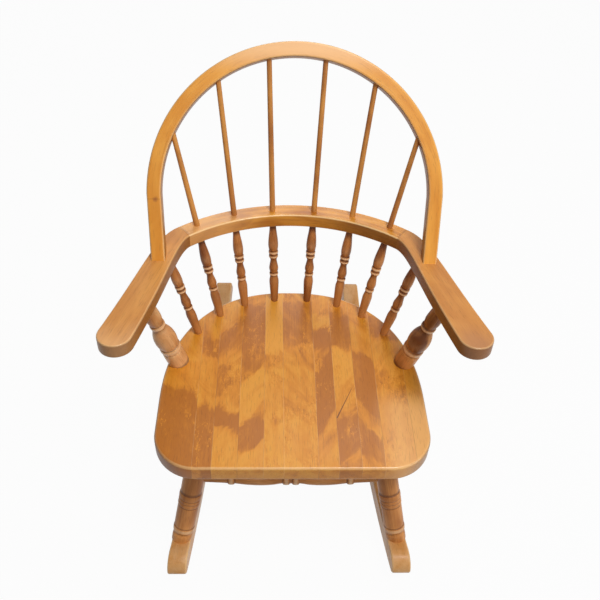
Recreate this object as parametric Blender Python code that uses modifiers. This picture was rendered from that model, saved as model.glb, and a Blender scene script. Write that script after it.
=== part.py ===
"""Spindle-back rocking chair of glued hardwood pieces, in metres, +Z up, front towards -Y."""

import math

import bmesh
import bpy
from mathutils import Matrix, Vector

# Fits
GLUE_GAP = 0.0003
HIDDEN_ROOT = 0.012

# Seat, measured from a point on its top face
SEAT_WIDTH = 0.540
SEAT_THICKNESS = 0.038
SEAT_FRONT_Y = -0.238
SEAT_WIDEST_Y = -0.078
SEAT_BACK_Y = 0.245
SEAT_BACK_POWER = 2.33
SEAT_CORNER_RADIUS = 0.085
SEAT_EDGE_RADIUS = 0.008
STAVE_PROPORTIONS = (72, 34, 45, 46, 36, 61, 36, 40, 41, 57, 32)

# Arms and back rail: one sloping plane
ARM_TOP_HEIGHT = 0.240
ARM_RISE = math.radians(2.8)
ARM_THICKNESS = 0.0295
ARM_EDGE_RADIUS = 0.006
RAIL_BACK_Y = 0.2605
RAIL_RADIUS = 0.3495
RAIL_WIDTH = 0.0405
# Along the rail, from the outermost long spindle to the joint with the arm
RAIL_JOINT_DISTANCE = 0.036
ARM_TIP_X = 0.3170
ARM_TIP_Y = -0.1260
ARM_TIP_SPLAY = math.radians(16.0)
ARM_TIP_WIDTH = 0.064
ARM_WIDENING_POWER = 1.17
ARM_REAR_PULL = 0.046
ARM_FRONT_PULL = 0.192
DOWEL_DIAMETER = 0.008
DOWEL_LENGTH = 0.030
DOWEL_SPACING = 0.016

# Bow
BOW_LEAN = math.radians(35.0)
BOW_FOOT_Y = 0.0955
BOW_RADIUS = 0.288
BOW_LEG_LENGTH = 0.121
BOW_TOE_IN = 0.0065
BOW_FACE_WIDTH = 0.0290
BOW_DEPTH = 0.029
BOW_EDGE_RADIUS = 0.006
BOW_PEG_DIAMETER = 0.015
BOW_PEG_LENGTH = 0.018

# Spindles: angles round the seat's back curve and round the bow, from the middle outwards
SPINDLE_INSET = 0.024
LONG_SPINDLE_SEAT_ANGLES = (83.6, 68.2, 53.0)
LONG_SPINDLE_BOW_ANGLES = (12.0, 35.4, 65.2)
SHORT_SPINDLE_SEAT_ANGLE = 36.5
SHORT_SPINDLE_ARM_SHARE = 0.345
SPINDLE_SEAT_TENON = 0.018
SPINDLE_BOW_TENON = 0.016
SPINDLE_ARM_TENON = 0.015
SPINDLE_RAIL_DIAMETER = 0.012
SPINDLE_BOW_DIAMETER = 0.010
SPINDLE_FOOT_DIAMETER = 0.014
RAIL_CYLINDER_MARGIN = 0.004
# Share of the way from the rail's or arm's underside down to the seat, and diameter
SPINDLE_TURNING = (
    (0.10, 0.0158),
    (0.19, 0.0200),
    (0.27, 0.0218),
    (0.32, 0.0200),
    (0.334, 0.0176),
    (0.346, 0.0208),
    (0.372, 0.0208),
    (0.388, 0.0180),
    (0.400, 0.0202),
    (0.420, 0.0202),
    (0.445, 0.0150),
    (0.462, 0.0140),
    (0.51, 0.0170),
    (0.56, 0.0202),
    (0.595, 0.0188),
    (0.615, 0.0160),
    (0.627, 0.0194),
    (0.652, 0.0194),
    (0.665, 0.0164),
    (0.73, 0.0208),
    (0.80, 0.0202),
    (0.90, 0.0178),
    (0.965, 0.0164),
)

# Arm posts
POST_SEAT_INSET = 0.020
POST_SEAT_ANGLE = 17.6
POST_ARM_SHARE = 0.755
POST_SEAT_TENON_DIAMETER = 0.025
POST_SEAT_TENON_LENGTH = 0.024
POST_ARM_TENON_DIAMETER = 0.018
POST_ARM_TENON_LENGTH = 0.015
# Share of the way from the seat up to the arm's underside, and diameter
POST_TURNING = (
    (-0.15, 0.0420),
    (0.19, 0.0430),
    (0.215, 0.0410),
    (0.225, 0.0385),
    (0.235, 0.0420),
    (0.265, 0.0440),
    (0.290, 0.0430),
    (0.302, 0.0400),
    (0.35, 0.0445),
    (0.41, 0.0460),
    (0.48, 0.0425),
    (0.54, 0.0345),
    (0.585, 0.0270),
    (0.605, 0.0260),
    (0.617, 0.0310),
    (0.650, 0.0310),
    (0.662, 0.0275),
    (0.74, 0.0320),
    (0.84, 0.0305),
    (0.95, 0.0265),
    (1.15, 0.0250),
)

# Legs: top centres under the seat, by share of its half width, and foot centres on the rockers
FRONT_LEG_WIDTH_SHARE = 0.657
FRONT_LEG_TOP_Y = -0.1025
FRONT_LEG_FOOT_Y = -0.1992
REAR_LEG_WIDTH_SHARE = 0.611
REAR_LEG_TOP_Y = 0.122
REAR_LEG_FOOT_Y = 0.232
LEG_SEAT_TENON_DIAMETER = 0.022
LEG_SEAT_TENON_LENGTH = 0.024
LEG_FOOT_TENON_DIAMETER = 0.024
LEG_FOOT_TENON_LENGTH = 0.026
# Share of the way from the seat's underside down to the rocker, and diameter
LEG_TURNING = (
    (-0.15, 0.0300),
    (0.0, 0.0310),
    (0.10, 0.0375),
    (0.22, 0.0430),
    (0.36, 0.0455),
    (0.535, 0.0455),
    (0.545, 0.0475),
    (0.575, 0.0475),
    (0.585, 0.0452),
    (0.628, 0.0452),
    (0.636, 0.0470),
    (0.656, 0.0470),
    (0.664, 0.0446),
    (0.672, 0.0466),
    (0.692, 0.0466),
    (0.700, 0.0450),
    (0.885, 0.0442),
    (0.895, 0.0460),
    (0.925, 0.0460),
    (0.935, 0.0400),
    (0.955, 0.0400),
    (0.968, 0.0436),
    (1.15, 0.0436),
)

# Stretchers: share of the way down each leg, and turning by distance from the middle
FRONT_STRETCHER_LEG_SHARE = 0.47
SIDE_STRETCHER_LEG_SHARE = 0.30
REAR_STRETCHER_LEG_SHARE = 0.45
STRETCHER_TENON_LENGTH = 0.018
STRETCHER_END_DIAMETER = 0.016
PLAIN_STRETCHER_DIAMETER = 0.025
FRONT_STRETCHER_TURNING = (
    (0.0, 0.0235),
    (0.0035, 0.0285),
    (0.0095, 0.0300),
    (0.0150, 0.0280),
    (0.0185, 0.0235),
    (0.040, 0.0290),
    (0.0655, 0.0310),
    (0.093, 0.0285),
    (0.116, 0.0230),
    (0.1205, 0.0280),
    (0.1305, 0.0280),
    (0.1350, 0.0215),
    (0.165, 0.0185),
)

# Rockers: concentric top and bottom arcs in the seat's frame
ROCKER_RADIUS = 1.080
ROCKER_DEPTH = 0.046
ROCKER_THICKNESS = 0.041
ROCKER_BOTTOM_Z = -0.380
ROCKER_MIDDLE_X = 0.2170
ROCKER_TOE = 0.0880
ROCKER_FRONT_Y = -0.278
ROCKER_REAR_Y = 0.521
ROCKER_FLAT = math.radians(1.5)
ROCKER_NOSE_RADIUS = 0.034
ROCKER_NOSE_SPARE = 0.002
ROCKER_END_RADIUS = 0.012
ROCKER_EDGE_RADIUS = 0.005

# Rest: lean of the seat, and centre of mass in the seat's frame that the lean must balance
REST_LEAN = math.radians(4.0)
BALANCE_Y = 0.0414
BALANCE_Z = -0.0357

# Facets
TURNING_SIDES = 10
EDGE_STEPS = 2
SEAT_BACK_STEPS = 28
ARC_STEPS = 20
ARM_STEPS = 14
TIP_STEPS = 10
BOW_STEPS = 32
CORNER_STEPS = 5
SHARP_ANGLE = math.radians(35.0)
WELD = 0.00001
REACH = 1.0
FOOT_TRIM_REACH = 0.14

# Wood colours, linear
HONEY = (0.50, 0.235, 0.060)
AMBER = (0.43, 0.175, 0.042)
RUSSET = (0.32, 0.110, 0.030)
STAVE_COLOURS = (RUSSET, AMBER, HONEY, AMBER, HONEY, AMBER, RUSSET, HONEY, AMBER, RUSSET, AMBER)
WOOD_ROUGHNESS = 0.38

RAIL_CENTRE_Y = RAIL_BACK_Y - RAIL_RADIUS
FRONT_LEG_TOP_X = FRONT_LEG_WIDTH_SHARE * SEAT_WIDTH / 2
REAR_LEG_TOP_X = REAR_LEG_WIDTH_SHARE * SEAT_WIDTH / 2
ROCKER_CENTRE_Z = ROCKER_BOTTOM_Z + ROCKER_RADIUS
ROCKER_CENTRE_Y = BALANCE_Y - (ROCKER_CENTRE_Z - BALANCE_Z) * math.tan(REST_LEAN)
ROCKER_TOP_RADIUS = ROCKER_RADIUS - ROCKER_DEPTH
ARM_PLANE = Matrix.Translation((0, 0, ARM_TOP_HEIGHT)) @ Matrix.Rotation(-ARM_RISE, 4, "X")
SIDES = (("left", -1), ("right", 1))

for leftover in list(bpy.data.objects):
    bpy.data.objects.remove(leftover)
PARTS = bpy.data.collections.new("rocking_chair")
CUTTERS = bpy.data.collections.new("cutters")
SEAT_SOCKETS = bpy.data.collections.new("seat_sockets")
bpy.context.scene.collection.children.link(PARTS)
bpy.context.scene.collection.children.link(CUTTERS)
CUTTERS.children.link(SEAT_SOCKETS)
CHAIR = bpy.data.objects.new("chair", None)
PARTS.objects.link(CHAIR)
CHAIR.rotation_euler = (-REST_LEAN, 0, 0)


def add_part(name, mesh, colour, place):
    """A piece of the chair, placed in the seat's frame, with its own wood."""
    wood = bpy.data.materials.new(name + "_wood")
    wood.use_nodes = True
    shader = wood.node_tree.nodes["Principled BSDF"]
    shader.inputs["Base Color"].default_value = (*colour, 1)
    shader.inputs["Roughness"].default_value = WOOD_ROUGHNESS
    shader.inputs["Metallic"].default_value = 0
    mesh.materials.append(wood)
    item = bpy.data.objects.new(name, mesh)
    PARTS.objects.link(item)
    item.parent = CHAIR
    item.matrix_basis = place
    return item


def add_cutter(name, mesh, place, group=CUTTERS):
    """A hidden solid that cuts or joins pieces."""
    item = bpy.data.objects.new(name, mesh)
    group.objects.link(item)
    item.parent = CHAIR
    item.matrix_basis = place
    item.hide_render = True
    item.display_type = "WIRE"
    return item


def combine(item, other, operation="DIFFERENCE"):
    """A Boolean step with one hidden solid."""
    step = item.modifiers.new(other.name, "BOOLEAN")
    step.operation = operation
    step.solver = "EXACT"
    step.object = other


def along(start, end):
    """Frame at start whose Z axis points to end."""
    return Matrix.Translation(start) @ (end - start).to_track_quat("Z", "Y").to_matrix().to_4x4()


def lathe_profile(name, stations):
    """Half profile of a turning from (height, diameter) pairs, lowest first."""
    rows = [(stations[0][0], 0.0), *stations, (stations[-1][0], 0.0)]
    points = [(diameter / 2, 0, height) for height, diameter in reversed(rows)]
    mesh = bpy.data.meshes.new(name)
    mesh.from_pydata(points, [(i, i + 1) for i in range(len(points) - 1)], [])
    return mesh


def spin(item):
    """Turns a half profile round its Z axis."""
    turn = item.modifiers.new("turning", "SCREW")
    turn.axis = "Z"
    turn.angle = math.tau
    turn.steps = TURNING_SIDES
    turn.render_steps = TURNING_SIDES
    turn.use_merge_vertices = True
    turn.merge_threshold = WELD
    turn.use_smooth_shade = True


def add_rod(name, start, end, diameter, group=CUTTERS):
    """A hidden round rod between two points."""
    length = (end - start).length
    mesh = lathe_profile(name, ((0.0, diameter), (length, diameter)))
    item = add_cutter(name, mesh, along(start, end), group)
    spin(item)
    return item


def add_bore(name, start, end, diameter, group=CUTTERS):
    """A hidden rod that cuts a hole with glue clearance round a diameter."""
    return add_rod(name, start, end, diameter + 2 * GLUE_GAP, group)


def add_block(name, low, high, place):
    """A hidden box between two corners of a frame."""
    mesh = bpy.data.meshes.new(name)
    shape = bmesh.new()
    size = Vector(high) - Vector(low)
    centre = (Vector(high) + Vector(low)) / 2
    stretch = Matrix.Translation(centre) @ Matrix.Diagonal((*size, 1))
    bmesh.ops.create_cube(shape, size=1.0, matrix=stretch)
    shape.to_mesh(mesh)
    shape.free()
    return add_cutter(name, mesh, place)


def round_corner(before, corner, after, radius):
    """Points of a round corner between two straight sides."""
    back = (Vector(before) - Vector(corner)).normalized()
    ahead = (Vector(after) - Vector(corner)).normalized()
    half = back.angle(ahead) / 2
    centre = Vector(corner) + (back + ahead).normalized() * radius / math.sin(half)
    first = Vector(corner) + back * radius / math.tan(half) - centre
    last = Vector(corner) + ahead * radius / math.tan(half) - centre
    turn = first.angle(last)
    points = []
    for i in range(CORNER_STEPS + 1):
        share = i / CORNER_STEPS
        blend = first * math.sin((1 - share) * turn) + last * math.sin(share * turn)
        points.append(tuple(centre + blend / math.sin(turn)))
    return points


def board(name, outline, thickness, edge_radius, square_ends=()):
    """A flat board, its middle at z = 0, with round long edges; square_ends are sides left sharp."""
    curve = bpy.data.curves.new(name, "CURVE")
    curve.dimensions = "2D"
    curve.fill_mode = "BOTH"
    curve.extrude = thickness / 2
    curve.render_resolution_u = 0
    spline = curve.splines.new("POLY")
    spline.points.add(len(outline) - 1)
    for point, (x, y) in zip(spline.points, outline):
        point.co = (x, y, 0, 1)
    spline.use_cyclic_u = True
    holder = bpy.data.objects.new(name, curve)
    bpy.context.scene.collection.objects.link(holder)
    graph = bpy.context.evaluated_depsgraph_get()
    mesh = bpy.data.meshes.new_from_object(holder.evaluated_get(graph))
    bpy.data.objects.remove(holder)
    shape = bmesh.new()
    shape.from_mesh(mesh)
    bmesh.ops.remove_doubles(shape, verts=shape.verts, dist=WELD)
    for sign in (1, -1):
        cap = [face for face in shape.faces if face.normal.z * sign > math.cos(SHARP_ANGLE)]
        bmesh.ops.dissolve_faces(shape, faces=cap)
    bmesh.ops.recalc_face_normals(shape, faces=shape.faces)
    middles = [(Vector(a) + Vector(b)) / 2 for a, b in square_ends]
    rim = []
    for edge in shape.edges:
        middle = (edge.verts[0].co + edge.verts[1].co) / 2
        level = abs(middle.z) > thickness / 2 - WELD
        square = any((middle.xy - end).length < WELD for end in middles)
        if level and not square:
            rim.append(edge)
    bmesh.ops.bevel(
        shape,
        geom=rim,
        offset=edge_radius,
        offset_type="OFFSET",
        segments=EDGE_STEPS,
        profile=0.5,
        affect="EDGES",
    )
    bmesh.ops.recalc_face_normals(shape, faces=shape.faces)
    shape.to_mesh(mesh)
    shape.free()
    mesh.shade_smooth()
    mesh.set_sharp_from_angle(angle=SHARP_ANGLE)
    return mesh


def seat_back_point(angle, inset):
    """Point of the seat's back curve, moved inwards; angle in degrees from the right-hand side."""
    power = 2 / SEAT_BACK_POWER
    cosine = math.cos(math.radians(angle))
    sine = math.sin(math.radians(angle))
    x = math.copysign(abs(cosine) ** power, cosine) * (SEAT_WIDTH / 2 - inset)
    y = SEAT_WIDEST_Y + max(sine, 0.0) ** power * (SEAT_BACK_Y - SEAT_WIDEST_Y - inset)
    return Vector((x, y, 0))


def arm_centre(share):
    """Point and direction of the right arm's centre line in the arm plane, from rail joint to tip."""
    turn = rail_joint_angle()
    sine = math.sin(turn)
    cosine = math.cos(turn)
    rear = Vector((RAIL_RADIUS * sine, RAIL_CENTRE_Y + RAIL_RADIUS * cosine))
    rear_pull = rear + ARM_REAR_PULL * Vector((cosine, -sine))
    tip = Vector((ARM_TIP_X, ARM_TIP_Y))
    tip_pull = tip - ARM_FRONT_PULL * Vector((math.sin(ARM_TIP_SPLAY), -math.cos(ARM_TIP_SPLAY)))
    rest = 1 - share
    point = rear * rest**3 + rear_pull * 3 * rest**2 * share
    point += tip_pull * 3 * rest * share**2 + tip * share**3
    slope = (rear_pull - rear) * rest**2 + (tip_pull - rear_pull) * 2 * rest * share
    slope += (tip - tip_pull) * share**2
    return point, slope.normalized()


def arm_point(share, drop, sign):
    """Point of an arm's centre line, a distance below the arm's top, in the seat's frame."""
    point = arm_centre(share)[0]
    return ARM_PLANE @ Vector((sign * point.x, point.y, -drop))


def on_arm_underside(start, end):
    """Point where a line meets the underside of the arms and rail, in the seat's frame."""
    inverse = ARM_PLANE.inverted()
    low = inverse @ start
    high = inverse @ end
    return start.lerp(end, (-ARM_THICKNESS - low.z) / (high.z - low.z))


def bow_frame():
    """Frame in the bow's middle plane: X across, Y up the slant, origin between its feet."""
    foot = ARM_PLANE @ Vector((0, BOW_FOOT_Y, 0))
    return Matrix.Translation(foot) @ Matrix.Rotation(math.pi / 2 - BOW_LEAN, 4, "X")


def bow_inner_point(angle, sign):
    """Point on the inner edge of the bow's arch; angle in degrees from its top."""
    radius = BOW_RADIUS - BOW_FACE_WIDTH
    turn = math.radians(angle)
    height = BOW_LEG_LENGTH + radius * math.cos(turn)
    return bow_frame() @ Vector((sign * radius * math.sin(turn), height, 0))


def rail_joint_angle():
    """Angle round the rail's centre at which it meets the arms, beyond the outermost long spindle."""
    seat = seat_back_point(LONG_SPINDLE_SEAT_ANGLES[-1], SPINDLE_INSET)
    bow = bow_inner_point(LONG_SPINDLE_BOW_ANGLES[-1], 1)
    hole = ARM_PLANE.inverted() @ on_arm_underside(seat, bow)
    return math.atan2(hole.x, hole.y - RAIL_CENTRE_Y) + RAIL_JOINT_DISTANCE / RAIL_RADIUS


def rocker_point(y, sign):
    """Point on the top of a rocker's centre line, in the seat's frame."""
    height = math.sqrt(ROCKER_TOP_RADIUS**2 - (y - ROCKER_CENTRE_Y) ** 2)
    return Vector((sign * (ROCKER_MIDDLE_X - ROCKER_TOE * y), y, ROCKER_CENTRE_Z - height))


def add_tenon(item, surface, outward, diameter, length):
    """A round tenon on a trimmed end, rooted inside the piece."""
    root = surface - outward * HIDDEN_ROOT
    tip = surface + outward * length
    combine(item, add_rod(item.name + "_tenon", root, tip, diameter), "UNION")


def add_socket(name, surface, inward, diameter, length, group=CUTTERS):
    """A socket cutter with glue clearance, from outside the surface to the tenon's depth."""
    bottom = surface + inward * (length + GLUE_GAP)
    return add_bore(name, surface - inward * HIDDEN_ROOT, bottom, diameter, group)


def scaled(turning, length):
    """Turning heights from shares of a length."""
    return [(share * length, diameter) for share, diameter in turning]


def spindle_stations(lower, tenon):
    """Turning of a spindle from the seat tenon up to the rail's or arm's underside, seat first."""
    rows = [(-tenon, SPINDLE_FOOT_DIAMETER), (0.0, SPINDLE_FOOT_DIAMETER)]
    rows += [((1 - share) * lower, diameter) for share, diameter in reversed(SPINDLE_TURNING)]
    return rows


def build_seat():
    """Staves cut from one blank, each with the sockets that fall in it."""
    half = SEAT_WIDTH / 2
    outline = []
    for i in range(SEAT_BACK_STEPS + 1):
        outline.append(tuple(seat_back_point(180 * i / SEAT_BACK_STEPS, 0).xy))
    left_corner = (-half, SEAT_FRONT_Y)
    right_corner = (half, SEAT_FRONT_Y)
    outline += round_corner(outline[-1], left_corner, right_corner, SEAT_CORNER_RADIUS)
    outline += round_corner(left_corner, right_corner, outline[0], SEAT_CORNER_RADIUS)
    blank = board("seat_blank", outline, SEAT_THICKNESS, SEAT_EDGE_RADIUS)
    place = Matrix.Translation((0, 0, -SEAT_THICKNESS / 2))
    unit = SEAT_WIDTH / sum(STAVE_PROPORTIONS)
    start = -half
    for number, proportion in enumerate(STAVE_PROPORTIONS, 1):
        end = start + proportion * unit
        low = start + GLUE_GAP / 2 if number > 1 else start - REACH
        high = end - GLUE_GAP / 2 if number < len(STAVE_PROPORTIONS) else end + REACH
        name = f"seat_stave_{number:02d}"
        slab = add_block(name + "_slab", (low, -REACH, -REACH), (high, REACH, REACH), Matrix.Identity(4))
        stave = add_part(name, blank.copy(), STAVE_COLOURS[number - 1], place)
        combine(stave, slab, "INTERSECT")
        sockets = stave.modifiers.new("sockets", "BOOLEAN")
        sockets.operation = "DIFFERENCE"
        sockets.solver = "EXACT"
        sockets.operand_type = "COLLECTION"
        sockets.collection = SEAT_SOCKETS
        start = end


def build_rail_and_arms():
    """Back rail, both arms and the dowels of their butt joints."""
    place = ARM_PLANE @ Matrix.Translation((0, 0, -ARM_THICKNESS / 2))
    limit = rail_joint_angle() - GLUE_GAP / 2 / RAIL_RADIUS
    outer = []
    inner = []
    for i in range(ARC_STEPS + 1):
        turn = limit * (1 - 2 * i / ARC_STEPS)
        ray = Vector((math.sin(turn), math.cos(turn)))
        centre = Vector((0, RAIL_CENTRE_Y))
        outer.append(tuple(centre + ray * (RAIL_RADIUS + RAIL_WIDTH / 2)))
        inner.append(tuple(centre + ray * (RAIL_RADIUS - RAIL_WIDTH / 2)))
    ends = ((outer[0], inner[0]), (outer[-1], inner[-1]))
    mesh = board("back_rail", outer + inner[::-1], ARM_THICKNESS, ARM_EDGE_RADIUS, ends)
    pieces = {"rail": add_part("back_rail", mesh, HONEY, place)}
    joint, slope = arm_centre(0.0)
    across = Vector((-slope.y, slope.x))
    for side, sign in SIDES:
        outer = []
        inner = []
        for i in range(ARM_STEPS + 1):
            share = i / ARM_STEPS
            point, direction = arm_centre(share)
            point = point + direction * (GLUE_GAP / 2 if i == 0 else 0)
            normal = Vector((-direction.y, direction.x))
            width = RAIL_WIDTH + (ARM_TIP_WIDTH - RAIL_WIDTH) * share**ARM_WIDENING_POWER
            outer.append(point + normal * width / 2)
            inner.append(point - normal * width / 2)
        tip = []
        for i in range(1, TIP_STEPS):
            swing = Matrix.Rotation(-math.pi * i / TIP_STEPS, 2)
            tip.append(point + swing @ (outer[-1] - point))
        outline = [(sign * q.x, q.y) for q in outer + tip + inner[::-1]]
        mesh = board(f"{side}_arm", outline, ARM_THICKNESS, ARM_EDGE_RADIUS, ((outline[0], outline[-1]),))
        pieces[side] = add_part(f"{side}_arm", mesh, HONEY, place)
        for number, offset in ((1, -DOWEL_SPACING / 2), (2, DOWEL_SPACING / 2)):
            middle = joint + across * offset
            reach = slope * DOWEL_LENGTH / 2
            depth = -ARM_THICKNESS / 2
            start = ARM_PLANE @ Vector((sign * (middle.x - reach.x), middle.y - reach.y, depth))
            end = ARM_PLANE @ Vector((sign * (middle.x + reach.x), middle.y + reach.y, depth))
            name = f"{side}_joint_dowel_{number}"
            profile = lathe_profile(name, ((0.0, DOWEL_DIAMETER), (DOWEL_LENGTH, DOWEL_DIAMETER)))
            dowel = add_part(name, profile, HONEY, along(start, end))
            spin(dowel)
            spare = (end - start).normalized() * GLUE_GAP
            bore = add_bore(name + "_bore", start - spare, end + spare, DOWEL_DIAMETER)
            combine(pieces["rail"], bore)
            combine(pieces[side], bore)
    return pieces


def build_bow(pieces):
    """The arch, trimmed to the arm tops, with a round peg in each arm."""
    frame = bow_frame()
    below = -2 * BOW_DEPTH
    outer = []
    inner = []
    for ring, radius in ((outer, BOW_RADIUS), (inner, BOW_RADIUS - BOW_FACE_WIDTH)):
        foot = radius - BOW_TOE_IN * (1 - below / BOW_LEG_LENGTH)
        ring.append((foot, below))
        for i in range(BOW_STEPS + 1):
            turn = math.pi * i / BOW_STEPS
            ring.append((radius * math.cos(turn), BOW_LEG_LENGTH + radius * math.sin(turn)))
        ring.append((-foot, below))
    mesh = board("bow", outer + inner[::-1], BOW_DEPTH, BOW_EDGE_RADIUS)
    bow = add_part("bow", mesh, HONEY, frame)
    low = (-REACH, -REACH, -REACH)
    combine(bow, add_block("arm_tops", low, (REACH, REACH, GLUE_GAP), ARM_PLANE))
    down = frame.to_3x3() @ Vector((0, -1, 0))
    foot_x = BOW_RADIUS - BOW_TOE_IN - BOW_FACE_WIDTH / 2
    for side, sign in SIDES:
        foot = frame @ Vector((sign * foot_x, 0, 0))
        root = foot - down * 2 * HIDDEN_ROOT
        peg = add_rod(f"{side}_bow_peg", root, foot + down * BOW_PEG_LENGTH, BOW_PEG_DIAMETER)
        combine(bow, peg, "UNION")
        socket = add_socket(f"{side}_bow_socket", foot, down, BOW_PEG_DIAMETER, BOW_PEG_LENGTH)
        combine(pieces[side], socket)
    pieces["bow"] = bow


def add_spindle_seat_socket(name, seat, axis):
    """The socket in the seat for a spindle's foot."""
    diameter = SPINDLE_FOOT_DIAMETER
    add_socket(name + "_seat", seat, -axis, diameter, SPINDLE_SEAT_TENON, SEAT_SOCKETS)


def build_spindles(pieces):
    """Six long spindles from seat through rail to bow, and one short spindle under each arm."""
    number = 0
    for side, sign in SIDES:
        for seat_angle, bow_angle in zip(LONG_SPINDLE_SEAT_ANGLES, LONG_SPINDLE_BOW_ANGLES):
            number += 1
            seat = seat_back_point(seat_angle, SPINDLE_INSET)
            seat.x = sign * abs(seat.x)
            bow = bow_inner_point(bow_angle, sign)
            axis = (bow - seat).normalized()
            lower = (on_arm_underside(seat, bow) - seat).length
            rail_top = lower + ARM_THICKNESS / math.cos(axis.angle(Vector((0, 0, 1))))
            first = lower - RAIL_CYLINDER_MARGIN
            last = rail_top + RAIL_CYLINDER_MARGIN
            stations = spindle_stations(lower, SPINDLE_SEAT_TENON)
            stations += [(first, SPINDLE_RAIL_DIAMETER), (last, SPINDLE_RAIL_DIAMETER)]
            length = (bow - seat).length
            tip = length + SPINDLE_BOW_TENON
            stations += [(length, SPINDLE_BOW_DIAMETER), (tip, SPINDLE_BOW_DIAMETER)]
            name = f"long_spindle_{number}"
            spindle = add_part(name, lathe_profile(name, stations), AMBER, along(seat, bow))
            spin(spindle)
            add_spindle_seat_socket(name, seat, axis)
            start = seat + axis * first
            end = seat + axis * last
            combine(pieces["rail"], add_bore(name + "_rail", start, end, SPINDLE_RAIL_DIAMETER))
            socket = add_socket(name + "_bow", bow, axis, SPINDLE_BOW_DIAMETER, SPINDLE_BOW_TENON)
            combine(pieces["bow"], socket)
        seat = seat_back_point(SHORT_SPINDLE_SEAT_ANGLE, SPINDLE_INSET)
        seat.x = sign * abs(seat.x)
        arm = arm_point(SHORT_SPINDLE_ARM_SHARE, ARM_THICKNESS, sign)
        axis = (arm - seat).normalized()
        lower = (arm - seat).length
        stations = spindle_stations(lower, SPINDLE_SEAT_TENON)
        first = lower - RAIL_CYLINDER_MARGIN
        tip = lower + SPINDLE_ARM_TENON
        stations += [(first, SPINDLE_RAIL_DIAMETER), (tip, SPINDLE_RAIL_DIAMETER)]
        name = f"{side}_short_spindle"
        spindle = add_part(name, lathe_profile(name, stations), AMBER, along(seat, arm))
        spin(spindle)
        add_spindle_seat_socket(name, seat, axis)
        socket = add_socket(name + "_arm", arm, axis, SPINDLE_RAIL_DIAMETER, SPINDLE_ARM_TENON)
        combine(pieces[side], socket)


def build_posts(pieces):
    """Arm posts, trimmed to the seat's top and the arm's underside."""
    low = (-REACH, -REACH, -REACH)
    seat_trim = add_block("seat_top", low, (REACH, REACH, GLUE_GAP), Matrix.Identity(4))
    low = (-REACH, -REACH, -ARM_THICKNESS - GLUE_GAP)
    arm_trim = add_block("arm_undersides", low, (REACH, REACH, REACH), ARM_PLANE)
    for side, sign in SIDES:
        seat = seat_back_point(POST_SEAT_ANGLE, POST_SEAT_INSET)
        seat.x = sign * abs(seat.x)
        arm = arm_point(POST_ARM_SHARE, ARM_THICKNESS, sign)
        axis = (arm - seat).normalized()
        name = f"{side}_arm_post"
        profile = lathe_profile(name, scaled(POST_TURNING, (arm - seat).length))
        post = add_part(name, profile, RUSSET, along(seat, arm))
        spin(post)
        combine(post, seat_trim)
        combine(post, arm_trim)
        foot = (POST_SEAT_TENON_DIAMETER, POST_SEAT_TENON_LENGTH)
        head = (POST_ARM_TENON_DIAMETER, POST_ARM_TENON_LENGTH)
        add_tenon(post, seat, -axis, *foot)
        add_tenon(post, arm, axis, *head)
        add_socket(name + "_seat", seat, -axis, *foot, SEAT_SOCKETS)
        combine(pieces[side], add_socket(name + "_arm", arm, axis, *head))


def build_rockers():
    """Both rockers: one side outline, swept across the thickness and toed in."""
    front = math.asin((ROCKER_FRONT_Y - ROCKER_CENTRE_Y) / ROCKER_RADIUS)
    rear = math.asin((ROCKER_REAR_Y - ROCKER_CENTRE_Y) / ROCKER_RADIUS)

    def arc(radius, turn):
        return (ROCKER_CENTRE_Y + radius * math.sin(turn), ROCKER_CENTRE_Z - radius * math.cos(turn))

    nose = front + (ROCKER_NOSE_RADIUS + ROCKER_NOSE_SPARE) / ROCKER_TOP_RADIUS
    margin = nose - front + ROCKER_FLAT / 4
    first = math.ceil((front + margin - REST_LEAN) / ROCKER_FLAT - 0.5)
    last = math.floor((rear - margin - REST_LEAN) / ROCKER_FLAT - 0.5)
    turns = [REST_LEAN + (number + 0.5) * ROCKER_FLAT for number in range(first, last + 1)]
    sole = [arc(ROCKER_RADIUS, turn) for turn in turns]
    top = [arc(ROCKER_TOP_RADIUS, turn) for turn in reversed([nose, *turns])]
    rear_low = arc(ROCKER_RADIUS, rear)
    rear_high = arc(ROCKER_TOP_RADIUS, rear)
    nose_high = arc(ROCKER_TOP_RADIUS, front)
    nose_low = arc(ROCKER_RADIUS, front)
    outline = list(sole)
    outline += round_corner(sole[-1], rear_low, rear_high, ROCKER_END_RADIUS)
    outline += round_corner(rear_low, rear_high, top[0], ROCKER_END_RADIUS)
    outline += top
    outline += round_corner(top[-1], nose_high, nose_low, ROCKER_NOSE_RADIUS)
    outline += round_corner(nose_high, nose_low, sole[0], ROCKER_DEPTH - ROCKER_NOSE_RADIUS - GLUE_GAP)
    upright = Matrix(((0, 0, 1, 0), (1, 0, 0, 0), (0, 1, 0, 0), (0, 0, 0, 1)))
    rockers = {}
    for side, sign in SIDES:
        mesh = board(f"{side}_rocker", outline, ROCKER_THICKNESS, ROCKER_EDGE_RADIUS)
        toe = Matrix.Translation((sign * ROCKER_MIDDLE_X, 0, 0))
        toe[0][1] = -sign * ROCKER_TOE
        mesh.transform(toe @ upright)
        rockers[side] = add_part(f"{side}_rocker", mesh, HONEY, Matrix.Identity(4))
    return rockers


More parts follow.
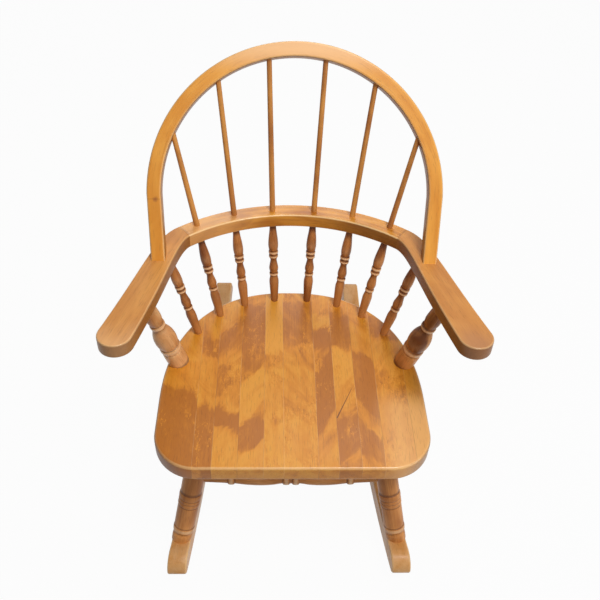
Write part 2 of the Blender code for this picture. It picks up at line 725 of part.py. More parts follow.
def build_legs(rockers):
    """Four turned legs between seat and rockers; gives each leg's object and axis ends."""
    low = (-REACH, -REACH, -SEAT_THICKNESS - GLUE_GAP)
    seat_trim = add_block("seat_underside", low, (REACH, REACH, REACH), Matrix.Identity(4))
    legs = {}
    places = (
        ("front", FRONT_LEG_TOP_X, FRONT_LEG_TOP_Y, FRONT_LEG_FOOT_Y),
        ("rear", REAR_LEG_TOP_X, REAR_LEG_TOP_Y, REAR_LEG_FOOT_Y),
    )
    for side, sign in SIDES:
        for end, top_x, top_y, foot_y in places:
            top = Vector((sign * top_x, top_y, -SEAT_THICKNESS))
            foot = rocker_point(foot_y, sign)
            axis = (foot - top).normalized()
            name = f"{side}_{end}_leg"
            profile = lathe_profile(name, scaled(LEG_TURNING, (foot - top).length))
            leg = add_part(name, profile, RUSSET, along(top, foot))
            spin(leg)
            combine(leg, seat_trim)
            tilt = math.asin((foot_y - ROCKER_CENTRE_Y) / ROCKER_TOP_RADIUS)
            ground = Matrix.Translation(foot) @ Matrix.Rotation(tilt, 4, "X")
            reach = LEG_TURNING[-1][1] / 2 / abs(axis.dot(ground.col[2].xyz))
            rise = (reach**2 + (ROCKER_RADIUS * ROCKER_FLAT / 2) ** 2) / 2 / ROCKER_TOP_RADIUS
            far = FOOT_TRIM_REACH
            trim = add_block(name + "_trim", (-far, -far, -far), (far, far, GLUE_GAP + rise), ground)
            combine(leg, trim)
            head = (LEG_SEAT_TENON_DIAMETER, LEG_SEAT_TENON_LENGTH)
            base = (LEG_FOOT_TENON_DIAMETER, LEG_FOOT_TENON_LENGTH)
            add_tenon(leg, top, -axis, *head)
            add_tenon(leg, foot, axis, *base)
            add_socket(name + "_seat", top, -axis, *head, SEAT_SOCKETS)
            combine(rockers[side], add_socket(name + "_rocker", foot, axis, *base))
            legs[side, end] = (leg, top, foot)
    return legs


def add_stretcher(name, first, second, share, turning):
    """A turned bar between two legs, its tenons in sockets along its own axis."""
    first_leg, first_top, first_foot = first
    second_leg, second_top, second_foot = second
    start = first_top.lerp(first_foot, share)
    end = second_top.lerp(second_foot, share)
    axis = (end - start).normalized()
    inset = leg_diameter(share) / 2 - STRETCHER_TENON_LENGTH
    half = (end - start).length / 2 - inset
    shoulder = half - STRETCHER_TENON_LENGTH
    outward = [*turning, (shoulder, STRETCHER_END_DIAMETER), (half, STRETCHER_END_DIAMETER)]
    inward = [(-distance, diameter) for distance, diameter in reversed(outward) if distance > 0]
    middle = start.lerp(end, 0.5)
    bar = add_part(name, lathe_profile(name, inward + outward), RUSSET, along(middle, end))
    spin(bar)
    margin = axis * (inset - GLUE_GAP)
    for number, leg, tip in ((1, first_leg, start + margin), (2, second_leg, end - margin)):
        combine(leg, add_bore(f"{name}_bore_{number}", tip, middle, STRETCHER_END_DIAMETER))


def leg_diameter(share):
    """Diameter of a leg at a share of its length."""
    for (low, thin), (high, thick) in zip(LEG_TURNING, LEG_TURNING[1:]):
        if low <= share <= high:
            return thin + (thick - thin) * (share - low) / (high - low)


def build_stretchers(legs):
    """Front stretcher with rings, and plain swelled side and rear stretchers."""
    plain = ((0.0, PLAIN_STRETCHER_DIAMETER), (PLAIN_STRETCHER_DIAMETER, PLAIN_STRETCHER_DIAMETER))
    for side in ("left", "right"):
        front = legs[side, "front"]
        rear = legs[side, "rear"]
        add_stretcher(f"{side}_stretcher", front, rear, SIDE_STRETCHER_LEG_SHARE, plain)
    ends = (
        ("front", FRONT_STRETCHER_LEG_SHARE, FRONT_STRETCHER_TURNING),
        ("rear", REAR_STRETCHER_LEG_SHARE, plain),
    )
    for end, share, turning in ends:
        add_stretcher(f"{end}_stretcher", legs["left", end], legs["right", end], share, turning)


def settle():
    """Moves the chair so that its box stands on the ground, centred on the origin."""
    bpy.context.view_layer.update()
    graph = bpy.context.evaluated_depsgraph_get()
    corners = []
    for item in PARTS.objects:
        if item.type == "MESH":
            solid = item.evaluated_get(graph)
            corners += [solid.matrix_world @ vertex.co for vertex in solid.data.vertices]
    front = min(corner.y for corner in corners)
    rear = max(corner.y for corner in corners)
    CHAIR.location = (0, -(front + rear) / 2, -min(corner.z for corner in corners))


build_seat()
PIECES = build_rail_and_arms()
build_bow(PIECES)
build_spindles(PIECES)
build_posts(PIECES)
build_stretchers(build_legs(build_rockers()))
settle()
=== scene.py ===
"""Looks of a spindle-back rocking chair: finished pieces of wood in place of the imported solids."""

import math
from collections import namedtuple

import bmesh
import bpy
from mathutils import Matrix, Vector


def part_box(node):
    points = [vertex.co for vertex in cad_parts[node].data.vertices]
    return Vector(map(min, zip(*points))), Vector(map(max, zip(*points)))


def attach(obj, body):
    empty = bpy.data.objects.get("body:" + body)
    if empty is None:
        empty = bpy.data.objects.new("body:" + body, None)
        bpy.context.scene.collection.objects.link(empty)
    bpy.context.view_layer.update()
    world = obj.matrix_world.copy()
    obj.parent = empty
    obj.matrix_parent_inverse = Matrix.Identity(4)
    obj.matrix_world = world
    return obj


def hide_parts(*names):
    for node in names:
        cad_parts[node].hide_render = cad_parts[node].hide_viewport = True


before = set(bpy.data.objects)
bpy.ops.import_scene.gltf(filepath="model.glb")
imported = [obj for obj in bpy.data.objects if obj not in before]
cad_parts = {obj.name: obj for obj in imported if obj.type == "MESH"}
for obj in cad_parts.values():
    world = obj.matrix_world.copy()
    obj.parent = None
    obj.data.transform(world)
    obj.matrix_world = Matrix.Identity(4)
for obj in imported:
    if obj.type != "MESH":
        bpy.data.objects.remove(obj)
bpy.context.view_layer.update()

Bead = namedtuple("Bead", "start end low high")
Patch = namedtuple("Patch", "middle half slant shade")
Lamp = namedtuple("Lamp", "name place aim size power")

# Seat, measured from a point on its top face. Edges of boards here are crisper than those of the solids.
SEAT_WIDTH = 0.540
SEAT_THICKNESS = 0.038
SEAT_FRONT_Y = -0.238
SEAT_WIDEST_Y = -0.078
SEAT_BACK_Y = 0.245
SEAT_BACK_POWER = 2.33
SEAT_CORNER_RADIUS = 0.085
SEAT_EDGE_RADIUS = 0.006
STAVE_PROPORTIONS = (72, 34, 45, 46, 36, 61, 36, 40, 41, 57, 32)

# Arms and back rail
ARM_TOP_HEIGHT = 0.240
ARM_RISE = math.radians(2.8)
ARM_THICKNESS = 0.0295
ARM_EDGE_RADIUS = 0.0034
RAIL_BACK_Y = 0.2605
RAIL_RADIUS = 0.3495
RAIL_WIDTH = 0.0405
RAIL_JOINT_DISTANCE = 0.036
ARM_TIP_X = 0.3170
ARM_TIP_Y = -0.1260
ARM_TIP_SPLAY = math.radians(16.0)
ARM_TIP_WIDTH = 0.064
ARM_WIDENING_POWER = 1.17
ARM_REAR_PULL = 0.046
ARM_FRONT_PULL = 0.192
JOINT_GAP = 0.0001
DOWEL_DIAMETER = 0.008
DOWEL_LENGTH = 0.030
DOWEL_SPACING = 0.016

# Bow. The trim of its outer radius keeps the crisp upper edge inside the solids' box.
BOW_LEAN = math.radians(35.0)
BOW_FOOT_Y = 0.0955
BOW_RADIUS = 0.288
BOW_LEG_LENGTH = 0.121
BOW_TOE_IN = 0.0065
BOW_FACE_WIDTH = 0.0290
BOW_DEPTH = 0.029
BOW_EDGE_RADIUS = 0.0038
BOW_TRIM = 0.0012

# Spindles and posts: angles round the seat's back curve and round the bow, in degrees
SPINDLE_INSET = 0.024
LONG_SPINDLE_SEAT_ANGLES = (83.6, 68.2, 53.0)
LONG_SPINDLE_BOW_ANGLES = (12.0, 35.4, 65.2)
SHORT_SPINDLE_SEAT_ANGLE = 36.5
SHORT_SPINDLE_ARM_SHARE = 0.345
SPINDLE_RAIL_DIAMETER = 0.012
SPINDLE_BOW_DIAMETER = 0.010
POST_SEAT_INSET = 0.020
POST_SEAT_ANGLE = 17.6
POST_ARM_SHARE = 0.755
HIDDEN_END = 0.006

# Legs, stretchers and rockers
FRONT_LEG_WIDTH_SHARE = 0.657
FRONT_LEG_TOP_Y = -0.1025
FRONT_LEG_FOOT_Y = -0.1992
REAR_LEG_WIDTH_SHARE = 0.611
REAR_LEG_TOP_Y = 0.122
REAR_LEG_FOOT_Y = 0.232
FRONT_STRETCHER_LEG_SHARE = 0.47
SIDE_STRETCHER_LEG_SHARE = 0.30
REAR_STRETCHER_LEG_SHARE = 0.45
STRETCHER_END_DIAMETER = 0.016
PLAIN_STRETCHER_DIAMETER = 0.025
ROCKER_RADIUS = 1.080
ROCKER_DEPTH = 0.046
ROCKER_THICKNESS = 0.041
ROCKER_BOTTOM_Z = -0.380
ROCKER_MIDDLE_X = 0.2170
ROCKER_TOE = 0.0880
ROCKER_FRONT_Y = -0.278
ROCKER_REAR_Y = 0.521
ROCKER_FLAT = math.radians(1.5)
ROCKER_NOSE_RADIUS = 0.034
ROCKER_END_RADIUS = 0.012
ROCKER_EDGE_RADIUS = 0.0042
ROCKER_END_TRIM = 0.0003
REST_LEAN = math.radians(4.0)
BALANCE_Y = 0.0414
BALANCE_Z = -0.0357

# Turnings: smooth runs of (share of the length, diameter), and beads between two shares
SPINDLE_TURNING = (
    ((0.0, 0.0126), (0.10, 0.0158), (0.19, 0.0200), (0.27, 0.0218), (0.32, 0.0200), (0.338, 0.0178)),
    Bead(0.338, 0.380, 0.0178, 0.0212),
    ((0.380, 0.0178), (0.387, 0.0170), (0.393, 0.0178)),
    Bead(0.393, 0.428, 0.0178, 0.0205),
    ((0.428, 0.0172), (0.445, 0.0150), (0.464, 0.0140), (0.51, 0.0170)),
    ((0.51, 0.0170), (0.56, 0.0202), (0.595, 0.0188), (0.619, 0.0158)),
    Bead(0.619, 0.659, 0.0162, 0.0198),
    (
        (0.659, 0.0160), (0.675, 0.0172), (0.73, 0.0208), (0.80, 0.0202),
        (0.90, 0.0178), (0.965, 0.0164), (1.0, 0.0150),
    ),
)
POST_TURNING = (
    ((0.0, 0.0430), (0.10, 0.0434), (0.19, 0.0430), (0.214, 0.0412), (0.224, 0.0384)),
    Bead(0.224, 0.300, 0.0396, 0.0443),
    (
        (0.300, 0.0396), (0.308, 0.0404), (0.35, 0.0445), (0.41, 0.0460),
        (0.48, 0.0425), (0.54, 0.0345), (0.585, 0.0270), (0.608, 0.0256),
    ),
    Bead(0.608, 0.660, 0.0268, 0.0314),
    ((0.660, 0.0268), (0.69, 0.0290), (0.74, 0.0320), (0.84, 0.0305), (0.95, 0.0265), (1.0, 0.0258)),
)
LEG_TURNING = (
    ((0.0, 0.0310), (0.10, 0.0375), (0.22, 0.0430), (0.36, 0.0455), (0.585, 0.0452)),
    Bead(0.585, 0.634, 0.0446, 0.0478),
    Bead(0.634, 0.662, 0.0446, 0.0470),
    Bead(0.662, 0.694, 0.0444, 0.0468),
    ((0.694, 0.0450), (0.79, 0.0448), (0.885, 0.0442)),
    Bead(0.885, 0.930, 0.0436, 0.0462),
    ((0.930, 0.0412), (0.945, 0.0399), (0.962, 0.0428), (0.975, 0.0436), (1.0, 0.0436)),
)
# Front stretcher by distance from its middle, in metres
STRETCHER_TURNING = (
    ((0.0, 0.0232), (0.0018, 0.0240), (0.0030, 0.0260)),
    Bead(0.0030, 0.0170, 0.0262, 0.0301),
    (
        (0.0170, 0.0250), (0.0190, 0.0235), (0.040, 0.0290),
        (0.0655, 0.0310), (0.093, 0.0285), (0.1185, 0.0230),
    ),
    Bead(0.1185, 0.1325, 0.0236, 0.0286),
    ((0.1325, 0.0226), (0.138, 0.0212), (0.165, 0.0185)),
)

# Knot on the bow's left leg, in the bow's frame
KNOT_PLACE = (-0.270, 0.110, BOW_DEPTH / 2)

# Fineness of the meshes
SEAT_STEPS = 120
ARC_STEPS = 72
ARM_STEPS = 48
TIP_STEPS = 28
BOW_STEPS = 96
CORNER_STEPS = 20
EDGE_STEPS = 6
RUN_STEPS = 8
BEAD_STEPS = 12
TURNING_SIDES = 40
CAP_MARGIN = 0.0008
WELD = 0.00001
SHARP_ANGLE = math.radians(38.0)

# Wear, dirt, painted highlights and painted shade along turnings: lengths in metres, strengths out of 1, and
# the power of a ring's wear
GROOVE_WIDTH = 0.0014
RING_POWER = 0.7
SWELL_HIGHLIGHT_AND_SHADE = 0.75
SWELL_NEUTRAL = 0.55
END_SHADE_LENGTH = 0.030
HEAD_SHADOW = 0.8
FOOT_SHADE = 0.2
LEG_SHADOW_LENGTH = 0.170
POST_SHADE_LENGTH = 0.010

# Marks in the paint, in metres: a pair is where a mark starts and where it is full.
# Some are painted light and shade: sheen on the bow's top, the rail's left and the seat's right front, shade
# on the rail's right and the seat's outer edge faces, and light reflected onto the spindles' feet
KNOT_FADE = (0.0075, 0.0015)
HAIRLINE_WIDTH = (0.0007, 0.0002)
HAIRLINE_LENGTH = (0.032, 0.028)
BOW_SHEEN_TOP = (0.23, 0.29)
RAIL_SHADE_RIGHT = (0.02, 0.16)
RAIL_SHEEN_LEFT = (-0.04, -0.16)
ARM_TIP_FADE = (-0.07, -0.15)
RIGHT_SIDE = (-0.1, 0.1)
LEFT_SIDE = (0.1, -0.1)
OUTER_SPINDLES = (0.02, 0.10)
FOOT_REFLECTED_LIGHT = 0.080
SEAT_SHEEN_RIGHT = (0.15, 0.22)
SEAT_SHEEN_FRONT = (-0.03, -0.10)
SEAT_SHADED_RIM = (0.20, 0.26)
SEAM_START = 0.0011
SEAM_END = 0.0002

# Stained patches of the seat: blur of their edges in metres, and shade of their rims
PATCH_BLUR = 0.015
PATCH_RIM = 0.12

# Crack in one stave, in metres across and from front to back
CRACKED_STAVE = "seat_stave_08"
CRACK_START = (0.122, -0.044)
CRACK_END = (0.088, -0.118)
CRACK_WIDTH = 0.0021

# Finish of the wood, strengths of painted shade on edge faces and of dirt with painted shade in grooves, and
# how far its grain is shifted from piece to piece
SATIN_GLOSS = 0.36
BENT_GLOSS = 0.25
SPINDLE_GLOSS = 0.20
COAT_WEIGHT = 0.06
COAT_ROUGHNESS = 0.20
BASE_ROUGHNESS = 0.28
ROUGHNESS_SPREAD = 0.22
CREST_POLISH = 0.12
BUMP_STRENGTH = 0.10
BUMP_DEPTH = 0.0004
DIRT_AND_SHADE = 0.6
SIDE_SHADE = 0.18
PORE_SHADE = 0.14
GRAIN_SHIFT = 0.37
GRAIN_WRAP = 1.7

# Camera in the seat's frame: place in metres, turns in degrees, lens and sensor in millimetres
CAMERA_PLACE = (-0.04995, -1.03065, 1.19852)
CAMERA_TURN = (46.201, -2.032, -1.332)
CAMERA_LENS = 45.0
CAMERA_SENSOR = 36.0

# Light and floor: strength of the surround on the pieces, how the floor looks, and the lamps
SURROUND_LIGHT = 0.15
FLOOR_WHITE = 0.96
FLOOR_TONE = 0.42
FLOOR_ROUGHNESS = 0.9
FLOOR_SIZE = 12.0
LAMPS = (
    Lamp("key", (0.80, -1.05, 3.60), (0.0, 0.0, 0.45), 0.9, 71.0),
    Lamp("front", (0.15, -2.60, 3.30), (0.0, 0.1, 0.70), 0.8, 20.0),
    Lamp("side", (2.40, -1.30, 1.10), (0.0, 0.0, 0.40), 0.9, 16.0),
    Lamp("low_back", (0.0, 2.60, 1.85), (0.0, 0.1, 0.55), 1.2, 13.0),
    Lamp("high_back", (0.35, 1.15, 2.60), (0.05, -0.25, 0.38), 0.9, 11.0),
)

RAIL_CENTRE_Y = RAIL_BACK_Y - RAIL_RADIUS
ROCKER_CENTRE_Z = ROCKER_BOTTOM_Z + ROCKER_RADIUS
ROCKER_CENTRE_Y = BALANCE_Y - (ROCKER_CENTRE_Z - BALANCE_Z) * math.tan(REST_LEAN)
ROCKER_TOP_RADIUS = ROCKER_RADIUS - ROCKER_DEPTH
ROCKER_SOLE_RADIUS = ROCKER_RADIUS * math.cos(ROCKER_FLAT / 2)
ARM_PLANE = Matrix.Translation((0, 0, ARM_TOP_HEIGHT)) @ Matrix.Rotation(-ARM_RISE, 4, "X")
SIDES = (("left", -1), ("right", 1))

# Wood tones, linear
HONEY = (0.740, 0.325, 0.044)
SEAT_GOLD = (0.690, 0.298, 0.033)
ORANGE = (0.610, 0.225, 0.019)
BROWN = (0.415, 0.135, 0.013)
ARM_LIGHT = (0.640, 0.285, 0.066)
ARM_DARK = (0.500, 0.195, 0.042)
TAN = (0.780, 0.450, 0.200)
# PALE also serves as painted sheen on the bow's top, the rail's left part and the seat's right front
PALE = (0.860, 0.520, 0.260)
CHESTNUT = (0.700, 0.305, 0.088)
AMBER = (0.510, 0.200, 0.052)
HAZEL = (0.390, 0.140, 0.035)
COCOA = (0.180, 0.056, 0.014)
RUSSET = (0.220, 0.070, 0.019)
UMBER = (0.085, 0.026, 0.009)
# The next two are pale tones for crests of edges and rings: wearing of the finish together with a painted
# highlight
PALE_WEAR_AND_HIGHLIGHT = (0.880, 0.590, 0.280)
RING_WEAR_AND_HIGHLIGHT = (0.820, 0.530, 0.290)
TIP_BROWN = (0.400, 0.180, 0.078)
KNOT_RED = (0.230, 0.055, 0.012)

# Noise cells per metre along, across and into a piece
FIBRE_CELLS = (24.0, 760.0, 760.0)
LINE_CELLS = (46.0, 520.0, 520.0)
MOTTLE_CELLS = (52.0, 95.0, 95.0)
STREAK_CELLS = (7.0, 240.0, 240.0)
BAND_CELLS = (2.6, 70.0, 70.0)
STAIN_CELLS = (8.0, 17.0, 17.0)
FIGURE_CELLS = (11.0, 30.0, 30.0)
SWAY_CELLS = (9.0, 22.0, 22.0)
FLECK_CELLS = (100.0, 190.0, 190.0)
CLUSTER_CELLS = (13.0, 20.0, 20.0)
GLOSS_CELLS = (14.0, 30.0, 30.0)
RUB_CELLS = (70.0, 160.0, 160.0)


class Tint:
    """One socket of a material, with arithmetic that adds Math nodes."""

    def __init__(self, tree, socket=None):
        self.tree = tree
        self.socket = socket

    def add(self, kind, settings, inputs, output=0):
        """Any other node: its type, its settings, and the values or links of its sockets."""
        node = self.tree.nodes.new(kind)
        for name, value in settings.items():
            setattr(node, name, value)
        for key, value in inputs.items():
            if isinstance(value, Tint):
                self.tree.links.new(value.socket, node.inputs[key])
            else:
                node.inputs[key].default_value = value
        return Tint(self.tree, node.outputs[output])

    def maths(self, operation, *values):
        """A Math node on this material's values."""
        return self.add("ShaderNodeMath", {"operation": operation}, dict(enumerate(values)))

    def __add__(self, other):
        return self.maths("ADD", self, other)

    def __radd__(self, other):
        return self.maths("ADD", other, self)

    def __sub__(self, other):
        return self.maths("SUBTRACT", self, other)

    def __rsub__(self, other):
        return self.maths("SUBTRACT", other, self)

    def __mul__(self, other):
        return self.maths("MULTIPLY", self, other)

    def __rmul__(self, other):
        return self.maths("MULTIPLY", other, self)

    def __abs__(self):
        return self.maths("ABSOLUTE", self)

    def between(self, low, high):
        """Smooth step from 0 at low to 1 at high."""
        inputs = {0: self, 1: low, 2: high}
        return self.add("ShaderNodeMapRange", {"interpolation_type": "SMOOTHSTEP"}, inputs)

    def stretched(self, factors):
        """This vector times three factors."""
        return self.add("ShaderNodeVectorMath", {"operation": "MULTIPLY"}, {0: self, 1: factors})

    def noise(self, factors, detail=2.0, distortion=0.0):
        """Noise over this vector, stretched by three factors in cells per metre."""
        inputs = {"Vector": self.stretched(factors), "Scale": 1.0, "Detail": detail, "Distortion": distortion}
        return self.add("ShaderNodeTexNoise", {}, inputs)

    def mixed(self, first, second):
        """Mix of two colours by this factor."""
        settings = {"data_type": "RGBA", "clamp_factor": True}
        ends = [(*colour, 1.0) if isinstance(colour, tuple) else colour for colour in (first, second)]
        return self.add("ShaderNodeMix", settings, {0: self, 6: ends[0], 7: ends[1]}, 2)


def painted(tree, name, output="Fac"):
    """A value that is stored on the mesh, by its name."""
    return Tint(tree).add("ShaderNodeAttribute", {"attribute_name": name}, {}, output)


def object_place(tree):
    """Object coordinates, which are places in the world at rest: pieces have their origin at its zero."""
    return Tint(tree).add("ShaderNodeTexCoord", {}, {}, "Object")


def new_wood(name, gloss=SATIN_GLOSS):
    """A material, its shader, and its grain vector: metres along, across and into the piece."""
    material = bpy.data.materials.new(name)
    material.use_nodes = True
    tree = material.node_tree
    shader = tree.nodes["Principled BSDF"]
    shader.inputs["Specular IOR Level"].default_value = gloss
    shader.inputs["Coat Weight"].default_value = COAT_WEIGHT
    shader.inputs["Coat Roughness"].default_value = COAT_ROUGHNESS
    return material, shader, painted(tree, "grain", "Vector")


def lacquered(shader, grain, colour, height):
    """Joins colour, satin roughness and fibre bump to the shader."""
    tree = grain.tree
    tree.links.new(colour.socket, shader.inputs["Base Color"])
    polish = CREST_POLISH * painted(tree, "crest").between(0.2, 0.9)
    roughness = BASE_ROUGHNESS + ROUGHNESS_SPREAD * grain.noise(GLOSS_CELLS) - polish
    tree.links.new(roughness.socket, shader.inputs["Roughness"])
    inputs = {"Strength": BUMP_STRENGTH, "Distance": BUMP_DEPTH, "Height": height}
    bump = grain.add("ShaderNodeBump", {}, inputs)
    tree.links.new(bump.socket, shader.inputs["Normal"])


def wear_highlight_and_shade(grain, colour, light, wear_and_highlight, dirt_and_shade=DIRT_AND_SHADE, shade=SIDE_SHADE):
    """Lighter crests, from wearing of the finish and a painted highlight; painted shade on the faces marked
    as sides; and darker grooves, necks and ends of turnings, from dirt and painted shade.
    """
    side = painted(grain.tree, "side")
    crest = painted(grain.tree, "crest")
    ragged = 0.6 + 0.8 * grain.noise(RUB_CELLS)
    # Painted shade on the faces that the mesh marks as sides
    colour = (shade * side.between(0.4, 0.95)).mixed(colour, UMBER)
    # Lighter crests: wearing of the finish together with a painted highlight
    colour = ((crest * ragged).between(0.15, 0.95) * wear_and_highlight).mixed(colour, light)
    # Darker where the crest value is below zero: dirt in grooves together with painted shade
    return ((0 - crest).between(0.05, 0.75) * dirt_and_shade).mixed(colour, UMBER)


def pored(grain, colour, fibres, line_shade):
    """Colour with dark pores and thin dark lines."""
    lines = grain.noise(LINE_CELLS, 1.0).between(0.60, 0.70)
    pores = fibres.between(0.38, 0.27)
    return (PORE_SHADE * pores + line_shade * lines).mixed(colour, UMBER)


def streaked(grain, light, dark, blotch):
    """Colour and fibres of wood along its grain: pores, thin lines, growth bands and uneven stain."""
    fibres = grain.noise(FIBRE_CELLS)
    bands = grain.noise(BAND_CELLS, 2.0, 0.7)
    stain = grain.noise(STAIN_CELLS, 2.5, 0.8)
    shade = 0.5 + 0.55 * (bands - 0.5) + blotch * (stain - 0.5) + 0.22 * (fibres - 0.5)
    colour = shade.between(0.22, 0.78).mixed(dark, light)
    return pored(grain, colour, fibres, 0.20), fibres


def long_grain_wood(name, light, dark, ring, wear_and_highlight, blotch, gloss):
    """Wood whose fibres follow the piece."""
    material, shader, grain = new_wood(name, gloss)
    colour, fibres = streaked(grain, light, dark, blotch)
    lacquered(shader, grain, wear_highlight_and_shade(grain, colour, ring, wear_and_highlight), fibres)
    return material


def bow_wood(name):
    """Wood of the bow: a knot and a hairline across its left leg, a painted sheen on its top, and painted
    shade on its edge faces.
    """
    material, shader, grain = new_wood(name, BENT_GLOSS)
    colour, fibres = streaked(grain, HONEY, ORANGE, 1.2)
    knot = CHAIR @ bow_frame() @ Vector(KNOT_PLACE)
    up_slant = (CHAIR @ bow_frame()).to_3x3() @ Vector((0, 1, 0))
    place = object_place(grain.tree)
    offset = place.add("ShaderNodeVectorMath", {"operation": "SUBTRACT"}, {0: place, 1: knot})
    reach = offset.add("ShaderNodeVectorMath", {"operation": "LENGTH"}, {0: offset}, "Value")
    inputs = {0: offset, 1: up_slant}
    height = offset.add("ShaderNodeVectorMath", {"operation": "DOT_PRODUCT"}, inputs, "Value")
    ragged = 0.006 * (grain.noise(RUB_CELLS) - 0.5)
    hairline = abs(height).between(*HAIRLINE_WIDTH) * reach.between(*HAIRLINE_LENGTH)
    spot = (reach + ragged).between(*KNOT_FADE)
    colour = (0.45 * hairline).mixed((0.65 * spot).mixed(colour, KNOT_RED), UMBER)
    # Painted sheen on the bow's top
    colour = (0.75 * height.between(*BOW_SHEEN_TOP)).mixed(colour, PALE)
    # Strong painted shade on the bow's edge faces, with wearing and painted highlight on its crests
    lacquered(shader, grain, wear_highlight_and_shade(grain, colour, PALE_WEAR_AND_HIGHLIGHT, 0.35, shade=0.5), fibres)
    return material


def rail_wood(name):
    """Wood of the back rail: dark streaks, painted shade on its front and back faces that deepens towards the
    right, and a painted sheen on its left part.
    """
    material, shader, grain = new_wood(name)
    colour, fibres = streaked(grain, HONEY, BROWN, 1.1)
    across = seat_place(grain)[0]
    # Painted shade on the rail's front and back faces, deeper towards the right, and a painted sheen on its
    # left
    shade = 0.12 + 0.50 * across.between(*RAIL_SHADE_RIGHT)
    colour = (0.35 * across.between(*RAIL_SHEEN_LEFT)).mixed(colour, PALE)
    lacquered(shader, grain, wear_highlight_and_shade(grain, colour, PALE_WEAR_AND_HIGHLIGHT, 0.8, shade=shade), fibres)
    return material


def arm_wood(name):
    """Wood of the arms, paler at the left tip and browner at the right one, with painted shade on their edge
    faces.
    """
    material, shader, grain = new_wood(name, BENT_GLOSS)
    colour, fibres = streaked(grain, ARM_LIGHT, ARM_DARK, 0.9)
    across, backward = seat_place(grain)
    tip_mask = (backward + 0.10 * (grain.noise(STAIN_CELLS) - 0.5)).between(*ARM_TIP_FADE)
    colour = (0.7 * tip_mask * across.between(*RIGHT_SIDE)).mixed(colour, TIP_BROWN)
    colour = (0.4 * tip_mask * across.between(*LEFT_SIDE)).mixed(colour, PALE)
    # Painted shade on the arms' edge faces
    lacquered(shader, grain, wear_highlight_and_shade(grain, colour, PALE_WEAR_AND_HIGHLIGHT, 0.30, shade=0.5), fibres)
    return material


def spindle_wood(name):
    """Wood of the spindles: dark below the rail, lighter above it, and painted reflected light from the seat
    at the outer feet.
    """
    material, shader, grain = new_wood(name, SPINDLE_GLOSS)
    lower = streaked(grain, AMBER, RUSSET, 1.3)[0]
    upper, fibres = streaked(grain, ARM_LIGHT, HAZEL, 1.2)
    place = object_place(grain.tree)
    height = place.add("ShaderNodeSeparateXYZ", {}, {0: place}, "Z")
    colour = height.between(RAIL_HEIGHT - ARM_THICKNESS, RAIL_HEIGHT).mixed(lower, upper)
    seat = CHAIR.translation.z
    # Painted reflected light from the seat: warmer, lighter feet on the outer spindles
    outer = abs(seat_place(grain)[0]).between(*OUTER_SPINDLES)
    colour = (0.50 * outer * height.between(seat + FOOT_REFLECTED_LIGHT, seat)).mixed(colour, CHESTNUT)
    lacquered(shader, grain, wear_highlight_and_shade(grain, colour, RING_WEAR_AND_HIGHLIGHT, 1.0, 0.85), fibres)
    return material


def seat_place(grain):
    """Distances across the chair and from front to back, from the seat's own zero point."""
    place = object_place(grain.tree)
    across = place.add("ShaderNodeSeparateXYZ", {}, {0: place}, "X")
    backward = Tint(grain.tree, across.socket.node.outputs["Y"])
    return across, backward - CHAIR.translation.y


def crack(across, backward, start, end, width):
    """1 along a thin straight crack in the seat, which widens towards its end, and 0 beside it."""
    run = Vector(end) - Vector(start)
    right = across - start[0]
    behind = backward - start[1]
    share = (right * run.x + behind * run.y) * (1 / run.length_squared)
    share = share.maths("MINIMUM", share.maths("MAXIMUM", share, 0.0), 1.0)
    right = right - share * run.x
    behind = behind - share * run.y
    distance = share.maths("SQRT", right * right + behind * behind)
    return distance.between(width * (0.3 + 0.7 * share), 0.0)


def stave_shade(grain, across, backward, fibres, middle, tone, lean, patches):
    """How light a stave is: uneven stain in patches along its length, with flame figure and flecks."""
    bands = grain.noise(BAND_CELLS, 2.0, 0.5)
    inputs = {"Vector": grain, "Angle": math.radians(lean)}
    aslant = grain.add("ShaderNodeVectorRotate", {"rotation_type": "Z_AXIS"}, inputs)
    shade = tone + 1.15 * (aslant.noise(FIGURE_CELLS, 5.0, 1.3) - 0.5)
    mottle = grain.noise(MOTTLE_CELLS, 3.0, 0.9) - 0.5
    sway = 0.080 * (aslant.noise(SWAY_CELLS, 4.0, 0.9) - 0.5)
    sway = sway + 0.012 * (bands - 0.5) + 0.016 * mottle
    for patch in patches:
        distance = abs(backward + patch.slant * (across - middle) - patch.middle + sway)
        mask = distance.between(patch.half + PATCH_BLUR, patch.half - PATCH_BLUR)
        shade = shade + patch.shade * mask + PATCH_RIM * (1 - abs(2 * mask - 1))
    streaks = grain.noise(STREAK_CELLS, 4.0, 1.0) - 0.5
    shade = 0.24 * shade.between(0.25, 0.75) + 0.68 * shade
    shade = shade + 0.45 * (bands - 0.5) + 0.20 * (fibres - 0.5)
    shade = shade + 0.32 * streaks
    flecks = grain.noise(FLECK_CELLS, 2.0, 1.2)
    cluster = grain.noise(CLUSTER_CELLS, 1.0).between(0.50, 0.64)
    shade = shade + (0.28 + 0.75 * cluster) * mottle
    return shade + cluster * (0.38 * flecks.between(0.56, 0.68) - 0.30 * flecks.between(0.40, 0.32))


